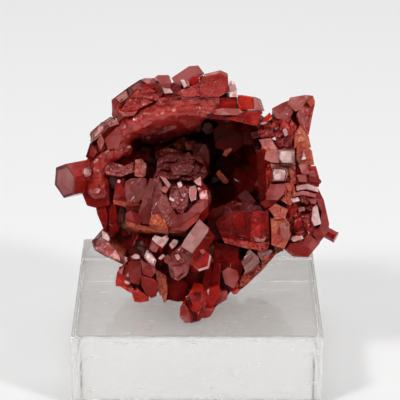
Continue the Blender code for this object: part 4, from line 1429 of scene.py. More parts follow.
LOWER_RIGHT_CRYSTALS = Clump("lower_right_crystals", (
    Slab(((6.8, -7.1), (8.0, -8.2), (8.1, -8.8), (7.2, -9.8), (6.4, -10.3), (5.8, -8.8)), 3.1,
         (0.1, -0.1), (0.1, 0.3, -4.0), SMOKE, shoots=1),
    Slab(((7.7, -7.3), (8.5, -6.9), (9.8, -7.3), (9.3, -8.2), (8.5, -8.7), (8.0, -8.2)), 2.7,
         (0.1, -0.1), (-0.1, 0.6, -4.0), SMOKE, shoots=2),
    Slab(((6.2, -10.0), (7.2, -9.7), (8.6, -8.7), (10.4, -7.3), (10.2, -7.9), (8.4, -10.0),
          (7.5, -10.8), (6.6, -11.7), (5.6, -12.5), (5.2, -11.6)), 1.9, (0.1, -0.1),
         (-0.3, 1.0, -3.5), RUST, rough=0.2, grain=(0.5, 0.5, 0.5), shoots=2),
    Prism((8.9, -8.3, 3.0), (0.3, -0.3, 0.9), 0.25, 1.4, GLOW, roll=10),
), 106)

RED_SHELF = Clump("red_shelf", (
    Slab(((2.4, -3.7), (3.7, -2.4), (7.1, -2.2), (7.0, -6.1), (5.6, -6.4), (3.3, -5.7)), 2.5,
         (0.22, 0.10), (0.0, 0.0, -4.0), WINE, DARK, rough=0.09, grain=(2.2, 1.8, 1.4)),
    Slab(((4.6, -3.0), (5.8, -2.4), (7.1, -2.3), (7.0, -5.9), (5.4, -5.6)), 2.8, (0.08, 0.05),
         (0.0, 0.0, -3.0), WINE, DARK, rough=0.06, grain=(1.8, 1.5, 1.2)),
    Slab(((7.1, -2.4), (9.3, -2.2), (9.4, -6.2), (8.4, -6.9), (6.9, -6.1)), 3.0, (-0.08, 0.0),
         (0.0, 0.2, -4.0), RED, WINE, rough=0.09, grain=(1.6, 1.3, 1.2)),
    Slab(((3.3, -5.7), (6.9, -6.2), (8.4, -6.6), (9.3, -6.2), (9.2, -7.0), (8.3, -7.4),
          (6.2, -7.0), (3.7, -6.4)), 3.2, (0.0, 0.2), (0.0, 0.4, -3.0), BROKEN, rough=0.18,
         grain=(0.6, 0.4, 0.6)),
    Slab(((7.3, -5.4), (8.2, -5.9), (9.0, -5.6), (8.6, -6.3), (7.6, -6.2)), 3.5, (0.0, 0.3),
         (0.0, 0.2, -1.0), BLUSH, rough=0.1),
    Slab(((1.4, -2.4), (4.8, -1.0), (8.2, -1.6), (9.2, -2.9), (9.2, -6.5), (8.0, -7.0),
          (5.0, -6.5), (1.6, -5.4)), 1.2, (0.06, -0.1), (0.0, -0.2, -4.0), DARK, shoots=2),
    Slab(((2.4, -6.3), (5.6, -6.9), (5.4, -8.8), (4.1, -9.6), (2.2, -8.8)), 1.8, (0.05, 0.0),
         (0.0, 0.6, -4.0), WINE, WINE),
    Slab(((1.5, -5.2), (2.4, -5.8), (2.2, -8.8), (1.2, -8.0)), 1.4, (0.3, 0.0), (0.0, 0.6, -4.0),
         DARK),
), 107)

STAINED_CRYSTAL = Clump("stained_crystal", (
    Slab(((9.2, -2.0), (10.1, -1.3), (11.7, -2.1), (11.3, -3.3), (10.1, -3.3)), 4.2, (0.0, -0.35),
         (0.0, -0.1, -5.0), RUST, RUST, rough=0.12, shoots=1),
    Slab(((9.5, -3.2), (11.4, -3.2), (11.9, -3.9), (12.0, -5.5), (11.2, -7.1), (9.6, -6.6)), 4.0,
         (0.1, 0.0), (0.0, 0.1, -5.0), RUST, RUST, rough=0.10, grain=(0.8, 1.4, 0.8)),
    Slab(((10.7, -3.8), (11.7, -3.8), (11.9, -5.3), (11.3, -6.1), (10.7, -5.0)), 4.4, (0.1, -0.1),
         (0.0, 0.1, -2.0), BLUSH, RUST, rough=0.04),
), 108)

HOPPER_CRYSTAL = Clump("hopper_crystal", (
    Slab(((12.0, -0.6), (14.6, 0.4), (15.6, -0.8), (15.9, -2.4), (15.4, -5.2), (13.9, -6.4),
          (11.9, -6.4), (11.3, -4.6)), 2.6, (-0.1, 0.05), (-0.3, 0.2, -4.0), GLOW, rough=0.4,
         grain=(1.5, 1.5, 1.3)),
    Slab(((12.4, -3.2), (13.5, -2.8), (13.8, -4.0), (13.2, -4.9), (12.3, -4.4)), 3.2, (0.1, -0.1),
         (0.0, 0.0, -2.5), RED, GLOW, steps=((0.2, 0.1),), shoots=1),
    Slab(((13.0, -1.9), (13.8, -1.7), (13.9, -2.2), (13.1, -2.4)), 3.3, (0.1, -0.4),
         (0.0, 0.0, -1.5), BLUSH, GLOW),
    Slab(((15.5, 0.7), (16.3, -0.9), (17.0, -3.9), (16.9, -4.9), (15.7, -6.4), (14.9, -5.2),
          (15.8, -4.2), (16.0, -2.4), (15.2, -0.6)), 3.3, (-0.28, 0.05), (-0.5, 0.1, -4.0),
         shoots=1),
    Slab(((14.9, -1.8), (15.4, -1.4), (15.9, -3.9), (15.0, -4.2), (14.7, -3.4)), 3.7, (0.1, -0.3),
         (0.0, -0.1, -2.0), PALE),
    Slab(((12.0, -5.9), (12.3, -5.5), (13.5, -5.4), (13.7, -5.8), (12.4, -6.2)), 3.6, (0.1, -0.4),
         (0.0, -0.3, -2.0), PALE, shoots=1),
    Slab(((11.9, -6.4), (13.7, -6.1), (14.3, -5.2), (15.8, -6.4), (14.3, -8.2), (12.8, -7.9),
          (11.5, -7.1)), 3.3, (-0.1, 0.05), (-0.3, 0.4, -4.0), side=RUST),
    Slab(((11.1, -7.1), (12.0, -7.0), (12.8, -7.8), (14.2, -8.2), (12.4, -8.1)), 2.8, (0.0, 0.2),
         (-0.2, 0.3, -3.5), RUST, RUST, rough=0.05),
    Slab(((11.6, -0.8), (12.6, -0.6), (13.0, -2.0), (12.0, -3.2), (11.4, -2.4)), 3.2, (0.2, 0.0),
         (0.0, 0.0, -3.0), RED, rough=0.1, shoots=1),
    Slab(((13.4, 0.2), (14.6, 0.4), (15.2, -0.5), (14.2, -1.5), (13.2, -0.9)), 3.4, (-0.1, 0.1),
         (0.0, 0.0, -3.0), RED, rough=0.15),
    Prism((17.9, -5.7, 2.5), (0.84, -0.45, 0.20), 0.68, 3.2, roll=12),
), 109)

RIGHT_COLUMN = Clump("right_column", (
    Slab(((8.9, 5.3), (9.7, 5.5), (10.6, 5.5), (10.6, 3.8), (9.5, 3.9), (8.7, 4.3)), 3.8,
         (0.1, -0.15), (0.0, 0.0, -4.0), BLUSH, shoots=1),
    Slab(((10.6, 5.5), (12.5, 5.5), (12.6, 3.5), (10.9, 3.5), (10.4, 4.4)), 4.2, (0.05, -0.12),
         (0.0, 0.0, -4.0), PALE, GLOW, steps=((0.25, 0.08),), shoots=1),
    Slab(((9.7, 3.3), (11.5, 3.2), (11.7, 2.6), (11.4, 1.5), (9.6, 1.5)), 4.2, (0.05, -0.15),
         (0.0, 0.1, -4.0), PALE, GLOW, steps=((0.2, 0.06),), shoots=1),
    Slab(((9.4, 1.1), (11.4, 1.2), (11.2, -0.1), (10.4, -0.9), (8.8, -0.9), (9.1, 0.4)), 4.3,
         (-0.05, -0.15), (0.0, 0.2, -4.0), shoots=1),
    Slab(((8.2, -1.3), (8.8, -0.9), (10.4, -0.9), (10.0, -1.6), (8.8, -1.9)), 3.5, (0.0, 0.1),
         (0.2, 0.2, -3.5), RED),
    Slab(((11.2, 1.3), (12.4, 1.3), (12.8, -0.4), (12.0, -1.7), (10.8, -0.9), (11.3, 0.0)), 4.0,
         (-0.1, 0.0), (0.0, 0.2, -4.0), RUST, RUST, rough=0.25, grain=(0.35, 0.8, 0.6), shoots=1),
    Slab(((12.9, 6.1), (13.9, 6.4), (14.8, 5.4), (15.1, 3.6), (13.3, 3.4), (12.7, 4.4)), 3.1,
         (-0.18, 0.0), (-0.4, 0.0, -5.0), RUST, rough=0.12, shoots=1),
    Slab(((13.7, 5.4), (14.0, 4.3), (13.4, 4.2)), 3.7, (0.1, -0.3), (0.0, 0.0, -2.0), PALE),
    Slab(((12.8, 3.3), (15.3, 3.5), (15.8, 1.7), (15.7, 0.8), (12.8, 0.6)), 3.0, (-0.18, -0.02),
         (-0.4, 0.0, -5.0), RED, rough=0.12, shoots=1),
    Slab(((13.0, 3.6), (14.1, 3.8), (14.4, 2.4), (13.5, 2.4)), 3.7, (0.0, -0.25), (0.0, 0.0, -2.5),
         BLUSH, GLOW),
    Slab(((12.8, 2.3), (14.0, 2.4), (14.1, 1.4), (13.1, 1.4)), 3.8, (0.0, -0.25), (0.0, 0.0, -2.5),
         BLUSH, GLOW),
    Slab(((14.3, 2.6), (15.2, 2.8), (15.4, 1.3), (14.4, 1.5)), 3.1, (-0.2, -0.1),
         (-0.2, 0.0, -2.5)),
    Slab(((12.7, 0.9), (14.2, 1.2), (15.5, 0.7), (15.6, 0.1), (14.0, 0.5), (12.8, 0.3)), 3.8,
         (0.0, -0.5), (0.0, -0.3, -2.5), PALE, rough=0.08),
    Slab(((12.2, 0.0), (13.6, 0.3), (15.3, -0.1), (15.2, -0.6), (13.4, -0.2), (12.3, -0.5)), 4.0,
         (0.0, -0.5), (0.0, -0.3, -2.5), BLUSH, rough=0.08),
    Slab(((12.0, -0.7), (13.0, -0.5), (13.2, -1.0), (12.3, -1.2)), 4.1, (0.0, -0.5),
         (0.0, -0.3, -2.5), PALE),
    Slab(((14.5, -0.7), (15.4, -0.6), (15.2, -1.4), (14.6, -1.3)), 3.8, (0.1, -0.3),
         (0.0, -0.3, -2.5), BLUSH, GLOW),
    Slab(((7.7, 5.6), (8.9, 5.5), (9.5, 3.6), (9.5, 1.2), (8.9, -0.6), (8.2, -1.4), (7.9, 1.7)),
         2.2, (0.5, 0.0), (0.2, 0.0, -4.0), DARK, WINE, rough=0.06, grain=(1.0, 2.0, 1.0)),
    Slab(((8.9, 5.2), (13.2, 5.8), (14.6, 4.6), (14.9, 1.0), (13.2, -1.0), (9.0, -1.2)), 2.7,
         (-0.05, 0.0), (-0.5, 0.0, -4.5), GLOW, rough=0.35, grain=(0.7, 0.7, 0.7)),
    Slab(((9.4, 3.8), (12.6, 3.7), (12.6, 3.2), (9.6, 3.1)), 3.7, (0.0, -0.2), (0.0, 0.0, -3.0),
         RUST, rough=0.15),
    Slab(((11.5, 3.3), (12.7, 3.4), (12.8, 1.2), (11.6, 1.2)), 3.6, (-0.1, 0.0), (0.0, 0.0, -3.0),
         RUST, GLOW, rough=0.25, grain=(0.4, 0.7, 0.5)),
), 110)

RIGHT_EAR = Clump("right_ear", (
    Slab(((13.9, 11.6), (14.9, 12.5), (15.2, 11.4), (14.8, 9.6), (14.4, 7.4), (13.3, 8.7),
          (12.8, 10.0), (13.1, 10.6)), 3.0, (-0.25, 0.0), (-0.8, -0.6, -4.5), SHEEN, RUST,
         rough=0.18, grain=(0.8, 1.4, 0.8), shoots=1),
    Slab(((13.3, 8.7), (14.4, 7.2), (14.7, 5.8), (13.2, 6.1), (12.5, 5.6), (12.6, 7.6)), 3.1,
         (-0.2, 0.0), (-0.5, -0.3, -4.5), RUST, RUST, rough=0.15, shoots=1),
    Slab(((11.6, 11.4), (12.0, 12.2), (13.9, 12.5), (14.9, 12.4), (14.0, 11.6), (13.3, 10.6),
          (12.6, 10.4)), 3.5, (0.1, -0.1), (-0.1, -0.6, -3.0), BLUSH, shoots=1),
    Slab(((14.1, 11.6), (14.9, 12.4), (15.2, 11.6), (14.6, 11.0)), 3.6, (-0.2, -0.1),
         (-0.3, -0.3, -2.0), RUST, GLOW),
    Slab(((9.7, 10.8), (10.8, 11.4), (11.7, 11.8), (12.4, 10.4), (11.8, 9.0), (10.2, 9.6)), 3.1,
         (0.05, -0.08), (0.0, -0.8, -3.5), rough=0.08, shoots=2),
    Slab(((8.4, 9.4), (9.4, 10.3), (9.8, 9.6), (8.7, 8.8)), 2.9, (0.05, 0.0), (0.4, -0.6, -3.0),
         GLOW, GLOW),
    Slab(((8.1, 8.9), (8.6, 9.1), (9.2, 9.0), (8.5, 8.7)), 3.1, (0.05, -0.3), (0.2, -0.3, -2.0),
         PALE, GLOW),
    Slab(((8.0, 8.6), (9.4, 9.4), (12.2, 9.4), (12.7, 7.6), (12.2, 6.0), (10.6, 5.8), (8.8, 6.6),
          (7.9, 7.7)), 2.6, (0.1, -0.05), (0.2, -0.4, -4.0), BROKEN, BROKEN, rough=0.5,
         grain=(1.0, 0.7, 0.9)),
    Slab(((10.5, 9.2), (12.0, 9.6), (12.9, 8.6), (12.7, 7.0), (11.6, 7.4)), 2.9, (-0.1, 0.1),
         (0.2, -0.4, -4.0), GLOW, GLOW, rough=0.25, grain=(0.6, 0.9, 0.6)),
    Slab(((11.0, 8.1), (11.5, 8.3), (11.7, 7.4), (11.3, 7.2)), 3.4, (0.1, -0.3), (0.0, -0.2, -1.2),
         PALE),
    Slab(((9.6, 6.9), (10.1, 7.2), (10.2, 6.7)), 3.5, (0.1, -0.4), (0.0, -0.2, -1.2), PALE),
    Slab(((8.2, 5.8), (12.6, 6.1), (12.7, 5.2), (8.6, 5.1)), 2.6, (0.0, 0.1), (0.2, 0.0, -4.0),
         GLOW, rough=0.3, grain=(0.9, 0.5, 0.6)),
    Slab(((8.0, 6.8), (9.6, 7.0), (10.2, 5.9), (8.5, 5.8)), 3.3, (0.1, -0.2), (0.2, 0.0, -3.5),
         BLUSH, RUST, rough=0.12),
    Slab(((8.3, 5.9), (10.0, 6.1), (10.4, 5.6), (9.0, 5.3)), 3.6, (0.1, -0.1), (0.2, 0.0, -3.0),
         RUST, RUST),
), 111)

CROWN_CRYSTALS = Clump("crown_crystals", (
    Slab(((-5.2, 14.7), (-4.8, 15.0), (-3.5, 15.0), (-3.1, 13.9), (-3.3, 13.3), (-4.3, 13.5)), 4.2,
         (0.0, -0.15), (0.1, 0.1, -4.0), side=BLUSH, shoots=1),
    Slab(((-4.3, 13.5), (-3.3, 13.3), (-2.9, 12.7), (-4.0, 12.6)), 4.3, (0.0, -0.5),
         (0.1, 0.1, -3.0), PALE, BLUSH),
    Slab(((-3.1, 14.7), (-0.9, 16.2), (0.3, 16.3), (1.1, 15.2), (-0.4, 14.9), (-1.1, 14.1),
          (-2.0, 13.6), (-2.7, 13.9)), 3.1, (0.0, -0.2), (0.1, -1.0, -3.5)),
    Slab(((-3.7, 13.8), (-2.6, 14.2), (-1.7, 13.2), (-2.2, 12.2), (-4.0, 12.2)), 3.3, (0.0, -0.1),
         (0.1, 0.1, -4.5), RED, shoots=1),
    Slab(((-2.0, 14.4), (-1.5, 14.4), (-1.1, 13.6), (-1.5, 13.3)), 4.3, (0.2, -0.4),
         (0.2, -0.3, -2.5), PALE, GLOW),
    Slab(((-1.3, 14.3), (-0.9, 14.2), (-0.8, 13.6), (-1.1, 13.5)), 4.2, (0.2, -0.4),
         (0.2, -0.3, -2.5), BLUSH, GLOW),
    Slab(((-1.1, 14.1), (-0.4, 14.9), (0.9, 15.0), (0.4, 13.9), (-0.8, 13.1)), 3.5, (0.1, 0.0),
         (0.1, -0.4, -3.5), RED),
    Slab(((-1.9, 13.1), (0.4, 13.9), (0.5, 12.3), (-1.4, 12.2), (-2.4, 12.6)), 4.1, (0.0, -0.1),
         (0.1, 0.2, -3.5), SHEEN, GLOW, rough=0.06, shoots=1),
    Slab(((0.4, 13.9), (1.1, 15.1), (3.1, 15.6), (4.0, 15.2), (4.2, 12.9), (2.9, 12.2),
          (0.5, 12.2)), 4.2, (-0.05, 0.05), (0.1, 0.2, -5.0), SHEEN, CLEAN, rim=BLUSH,
         chamfer=0.35, towards=(0.3, 1.0), rough=0.05, grain=(1.4, 1.0, 1.0), shoots=1),
    Slab(((4.2, 13.8), (4.4, 14.3), (4.9, 14.1), (5.2, 13.2), (5.2, 12.2), (4.3, 12.2)), 3.7,
         (0.15, -0.2), (0.0, 0.0, -4.0), PALE),
    Slab(((3.0, 12.2), (5.2, 12.2), (5.3, 10.7), (3.2, 10.6)), 3.2, (0.0, 0.05), (0.2, 0.2, -4.0),
         RED),
    Slab(((5.3, 12.5), (7.3, 12.2), (7.4, 10.6), (5.4, 10.6)), 3.5, (-0.05, 0.05),
         (0.5, 0.2, -4.0), GLOW, CLEAN),
    Slab(((7.3, 12.2), (8.0, 11.9), (8.5, 10.4), (7.4, 10.6)), 3.4, (-0.6, 0.1), (0.4, 0.2, -4.0),
         BLUSH, CLEAN),
    Slab(((5.6, 10.4), (8.4, 10.4), (7.8, 8.5), (6.4, 8.8), (3.8, 9.4)), 3.5, (0.0, 0.12),
         (0.1, 0.3, -3.5), RED, rough=0.05, shoots=1),
    Slab(((2.4, 10.6), (3.3, 10.8), (5.5, 10.7), (6.0, 10.3), (5.3, 9.9), (2.7, 9.9)), 3.9,
         (0.0, -0.4), (0.0, 0.2, -3.0), BLUSH, shoots=1),
    Slab(((-2.6, 12.3), (2.9, 12.3), (3.2, 10.6), (2.4, 10.2), (0.0, 9.9), (-2.0, 10.8)), 3.3,
         (0.0, 0.30), (0.0, 0.6, -4.0), SHEEN, rough=0.25, grain=(1.6, 0.5, 0.8)),
    Slab(((-0.8, 12.4), (4.8, 12.2), (6.0, 10.4), (3.7, 9.3), (1.2, 9.6), (-1.4, 10.0)), 2.3,
         (0.0, 0.25), (0.0, 0.8, -4.0), RED),
), 112)

CANOPY_CRYSTALS = Clump("canopy_crystals", (
    Slab(((-10.2, 9.3), (-10.0, 11.1), (-8.5, 12.5), (-7.2, 13.1), (-5.6, 10.4), (-7.4, 8.4),
          (-9.4, 7.7)), 2.5, (-0.12, 0.35), (-0.8, 0.9, -5.5), GLOW, CLEAN),
    Slab(((-8.1, 11.7), (-7.8, 13.1), (-6.1, 14.0), (-4.4, 13.9), (-2.4, 12.4), (-0.6, 12.2),
          (-0.8, 9.8), (-4.0, 9.2), (-6.8, 9.6)), 2.6, (0.04, 0.42), (-0.6, 1.0, -5.5), GLOW,
         CLEAN),
    Slab(((-10.8, 11.9), (-8.8, 13.4), (-8.3, 12.2), (-9.4, 11.3)), 2.9, (0.5, -0.5),
         (0.4, -0.4, -3.0), BLUSH, steps=((0.25, 0.06),), shoots=2),
    Slab(((-10.8, 11.9), (-9.4, 11.3), (-9.9, 10.2), (-10.5, 9.3), (-10.7, 10.2)), 2.6, (0.8, 0.0),
         (0.4, -0.2, -3.0), shoots=1),
    Slab(((-9.8, 11.5), (-9.6, 12.0), (-9.2, 12.1), (-9.4, 11.6)), 3.2, (0.5, -0.5),
         (0.1, -0.1, -0.8), RED),
    Slab(((-8.8, 13.4), (-7.1, 14.5), (-6.2, 14.0), (-7.4, 13.1), (-8.3, 12.2)), 3.1, (0.3, -0.5),
         (0.3, -0.4, -3.0), steps=((0.2, 0.06),), shoots=2),
    Slab(((-7.1, 14.5), (-5.2, 14.7), (-5.0, 13.9), (-6.2, 13.9)), 3.3, (0.0, -0.5),
         (0.1, -0.4, -3.0), BLUSH, shoots=1),
    Slab(((-9.7, 10.3), (-8.7, 11.9), (-7.1, 13.4), (-5.0, 13.9), (-4.1, 12.7), (-4.6, 11.9),
          (-7.1, 10.8), (-8.7, 9.6)), 3.7, (-0.15, 0.1), (-0.1, 0.1, -3.0), BROKEN, rough=0.34,
         grain=(1.7, 0.6, 1.1)),
    Slab(((-9.9, 10.5), (-9.2, 9.7), (-7.9, 9.8), (-7.4, 10.4), (-8.8, 10.2)), 4.1, (0.0, 0.2),
         (0.0, 0.4, -1.5), BLUSH, GLOW, rough=0.12, grain=(0.5, 0.3, 0.4)),
    Slab(((-9.2, 11.0), (-8.0, 11.9), (-7.4, 11.7), (-8.6, 11.0)), 3.9, (0.0, 0.1),
         (0.0, 0.2, -1.5), GLOW, GLOW, rough=0.2),
    Slab(((-7.0, 12.5), (-5.9, 13.3), (-4.9, 12.9), (-5.9, 12.8)), 3.9, (0.0, 0.1),
         (0.0, 0.2, -1.5), GLOW, GLOW, rough=0.2),
    Slab(((-4.6, 12.1), (-2.0, 12.6), (0.6, 12.2), (0.2, 11.3), (-3.0, 10.9), (-5.6, 10.8)), 3.6,
         (0.0, 0.30), (-0.1, 0.1, -3.0), SHEEN, rough=0.22, grain=(1.6, 0.45, 0.8)),
    Slab(((-13.6, 7.5), (-12.1, 9.1), (-11.3, 9.1), (-11.0, 8.4), (-12.8, 6.8), (-13.3, 6.5)), 2.4,
         (0.4, -0.4), (0.4, -0.4, -3.0), BLUSH, steps=((0.15, 0.08), (0.15, 0.06)), shoots=1),
    Slab(((-11.3, 9.1), (-10.1, 9.6), (-9.8, 8.8), (-11.0, 8.4)), 2.8, (0.2, -0.4),
         (0.2, -0.4, -3.0), BLUSH, rough=0.12, grain=(0.3, 0.3, 0.3)),
    Slab(((-11.6, 6.8), (-9.9, 8.5), (-9.4, 7.4), (-9.9, 5.7), (-11.2, 5.5)), 3.2, (-0.1, 0.1),
         (-0.3, 0.3, -4.0), side=GLOW),
    Slab(((-12.6, 6.5), (-12.1, 7.5), (-11.6, 6.6), (-12.1, 5.5)), 3.0, (0.1, 0.0),
         (-0.1, 0.1, -3.0), BLUSH, GLOW),
    Slab(((-14.1, 4.6), (-13.5, 6.5), (-12.6, 5.7), (-12.4, 5.2), (-13.3, 4.2)), 2.4, (0.25, 0.0),
         (0.2, -0.1, -4.5), steps=((0.2, 0.06),)),
    Slab(((-12.6, 6.6), (-12.7, 7.1), (-11.5, 8.2), (-10.0, 9.2), (-8.2, 8.3), (-8.6, 6.6),
          (-10.6, 5.4), (-12.5, 5.3)), 2.1, (-0.2, 0.15), (-1.1, 0.8, -5.0), GLOW, CLEAN),
    Slab(((-12.9, 5.6), (-11.5, 5.4), (-11.9, 3.6), (-12.8, 1.9), (-14.4, 1.7), (-14.0, 4.3)), 1.6,
         (-0.1, 0.0), (0.2, 0.2, -4.5), GLOW),
), 113)

LEFT_TABLET = Clump("left_tablet", (
    Prism((-16.8, 1.5, 1.6), (-0.74, -0.16, 0.66), 2.0, 5.4, front=CLEAN, steps=((0.35, 0.05),),
          roll=16, shoots=1),
    Slab(((-16.1, 3.2), (-15.6, 3.5), (-14.9, 2.4), (-15.0, 1.3), (-15.6, 1.5), (-15.7, 2.3)), 2.7,
         (0.1, -0.1), (0.5, 0.0, -2.5), BLUSH, steps=((0.2, 0.1),), shoots=3),
    Prism((-14.0, 2.7, 2.7), (-0.15, 0.20, 0.95), 0.62, 3.0, BLUSH, steps=((0.2, 0.05),), roll=15),
), 114)

LEFT_WALL_CRYSTALS = Clump("left_wall_crystals", (
    Slab(((-14.6, -0.1), (-14.3, 2.2), (-12.7, 2.2), (-11.2, 1.0), (-11.0, -1.5), (-12.9, -1.9),
          (-14.0, -1.6)), 1.5, (0.1, 0.1), (0.6, 0.2, -5.0), WINE, shoots=2),
    Slab(((-12.9, -1.7), (-11.8, -0.9), (-11.3, -2.8), (-11.5, -5.0), (-11.9, -4.6),
          (-12.7, -2.7)), 1.0, (0.2, 0.0), (0.5, 0.2, -5.0), WINE, shoots=1),
    Prism((-12.7, 0.3, 2.5), (-0.1, 0.2, 0.95), 0.34, 1.5, BLUSH, roll=10, stretch=1.4),
    Prism((-9.8, 1.5, 3.3), (0.1, 0.1, 0.98), 0.24, 1.5, PALE, roll=30),
    Slab(((-12.0, 3.7), (-11.2, 4.1), (-9.0, 3.5), (-8.1, 4.0), (-7.9, 2.7), (-9.6, 2.1),
          (-11.5, 2.4)), 1.6, (0.0, -0.5), (0.0, -0.8, -3.5), rough=0.25, grain=(0.8, 0.5, 0.6)),
    Slab(((-7.8, 4.3), (-7.0, 4.4), (-6.3, 3.7), (-6.4, 2.3), (-6.9, 1.9), (-7.9, 2.2)), 1.9,
         (0.1, -0.2), (0.2, -0.6, -4.0), RUST, PALE, rough=0.08),
    Slab(((-11.9, 2.6), (-6.2, 2.4), (-6.4, 0.6), (-11.4, 0.4)), 0.3, (0.0, 0.5),
         (0.0, -0.4, -3.5), WINE, shoots=3),
    Slab(((-11.9, -0.9), (-7.2, -1.6), (-4.0, -4.5), (-3.6, -7.2), (-5.9, -8.4), (-9.2, -8.6),
          (-11.1, -6.1)), -0.6, (0.0, 0.0), (0.3, 0.4, -4.5), WINE, WINE, shoots=4),
    Slab(((-11.4, -1.2), (-10.3, -0.9), (-9.9, -4.6), (-10.8, -6.0), (-11.6, -4.6)), 0.9,
         (0.3, 0.0), (0.2, 0.2, -4.0), WINE, PLUM),
    Slab(((-9.9, -1.6), (-8.8, -1.6), (-8.8, -5.4), (-9.6, -5.6)), 0.2, (-0.3, 0.0),
         (0.2, 0.2, -4.0), WINE, WINE),
    Slab(((-8.3, -4.9), (-6.6, -4.6), (-6.0, -6.4), (-6.6, -8.0), (-8.2, -7.6)), 0.9, (0.2, 0.0),
         (0.2, 0.4, -4.0), WINE, WINE, shoots=1),
    Prism((-10.6, -3.4, 0.7), (-0.10, 0.30, 0.94), 0.9, 4.0, WINE, WINE, roll=4, shoots=1),
    Prism((-5.8, -5.4, 0.6), (0.10, 0.40, 0.90), 0.8, 4.0, DARK, roll=12, shoots=1),
), 115)

LOWER_LEFT_LEAF = Clump("lower_left_leaf", (
    Slab(((-12.0, -4.6), (-13.4, -6.2), (-13.0, -7.3), (-11.7, -8.1), (-10.3, -8.7), (-9.0, -9.3),
          (-9.3, -8.0), (-10.5, -6.7)), 1.8, (0.2, -0.20), (0.6, 0.7, -3.0), SHEEN, RUST,
         steps=((0.25, 0.08),), shoots=4),
    Slab(((-12.0, -4.8), (-11.4, -5.1), (-11.0, -5.7), (-11.1, -6.2), (-12.0, -5.7)), 2.4,
         (0.1, -0.2), (0.2, 0.2, -2.5), PALE),
), 116)

CLUMPS = (LEANING_CRYSTAL, SMALL_HEX_CRYSTAL, CENTRAL_CRYSTAL, LOWER_CRYSTALS, BOTTOM_TIP,
          LOWER_RIGHT_CRYSTALS, RED_SHELF, STAINED_CRYSTAL, HOPPER_CRYSTAL, RIGHT_COLUMN,
          RIGHT_EAR, CROWN_CRYSTALS, CANOPY_CRYSTALS, LEFT_TABLET, LEFT_WALL_CRYSTALS,
          LOWER_LEFT_LEAF)

HOLLOW_CRYSTALS: tuple[Crystal, ...] = (
    Prism((4.3, 7.3, -1.5), (0.10, -0.05, 0.99), 2.0, 7.0, DUSKY, DARK, roll=40, shoots=3),
    Slab(((6.1, 8.7), (8.0, 8.7), (8.0, 6.3), (6.1, 6.3)), -1.0, (0.0, 0.0), (0.3, 0.3, -6.0),
         DUSKY, RUST, shoots=3),
    Prism((1.5, 8.4, -1.8), (0.0, -0.20, 0.98), 0.7, 5.0, DUSKY, DARK, roll=10, shoots=3),
    Slab(((0.0, 6.6), (1.3, 6.3), (1.8, 4.9), (1.6, 3.0), (1.1, 1.8), (-0.4, 2.2), (-0.4, 5.5)),
         -1.6, (0.2, 0.0), (-0.3, 0.0, -7.0), DUSKY, DARK, shoots=8),
    Slab(((-1.6, 6.7), (-0.2, 6.9), (0.1, 6.5), (-0.2, 5.5), (-1.3, 5.6)), -2.2, (0.1, 0.1),
         (0.0, 0.3, -4.0), EMBER, EMBER, rough=0.12),
    Slab(((-5.4, 5.4), (-3.6, 6.2), (-1.7, 7.4), (-0.9, 7.0), (-1.6, 5.4), (-3.2, 4.6),
          (-5.2, 4.2)), -3.2, (0.1, 0.2), (0.0, 0.3, -4.0), EMBER, DARK, rough=0.5,
         grain=(0.9, 0.7, 0.8)),
    Slab(((2.5, 2.6), (3.0, 3.0), (4.3, 1.6), (4.0, 1.2), (3.5, 1.3)), -2.0, (0.1, 0.1),
         (0.2, 0.4, -4.0), EMBER, DARK),
    Slab(((3.4, 4.9), (3.7, 5.6), (4.5, 5.9), (4.7, 5.6), (3.9, 4.7)), -1.0, (0.1, 0.1),
         (0.2, 0.4, -4.0), EMBER, DARK),
    Prism((-2.6, 4.2, -4.6), (0.25, -0.10, 0.96), 1.3, 5.0, DARK, roll=12, shoots=3),
    Prism((-5.6, 5.2, -4.4), (0.35, -0.25, 0.90), 1.2, 5.0, DARK, roll=33, shoots=3),
    Prism((-2.0, 7.4, -4.4), (0.05, -0.30, 0.95), 1.2, 5.0, DARK, roll=20, shoots=3),
    Prism((3.8, 3.6, -5.4), (0.30, -0.12, 0.94), 1.2, 4.0, DARK, roll=8, shoots=3),
    Prism((6.2, 2.4, -4.2), (-0.40, 0.10, 0.90), 1.3, 5.0, DARK, roll=28, shoots=3),
    Prism((4.6, 0.2, -4.4), (-0.10, 0.50, 0.86), 1.2, 5.0, DARK, roll=15, shoots=3),
    Prism((1.4, 0.2, -4.8), (0.10, 0.45, 0.88), 1.1, 5.0, DARK, roll=5, shoots=3),
    Prism((-8.4, 5.8, -3.2), (0.60, -0.30, 0.74), 1.0, 5.0, DARK, roll=18, shoots=3),
    Prism((-6.6, 2.4, -4.4), (0.40, 0.30, 0.86), 1.1, 4.0, DARK, roll=48, shoots=3),
)


# --------------------------------------------------------------- the hollow and the rock


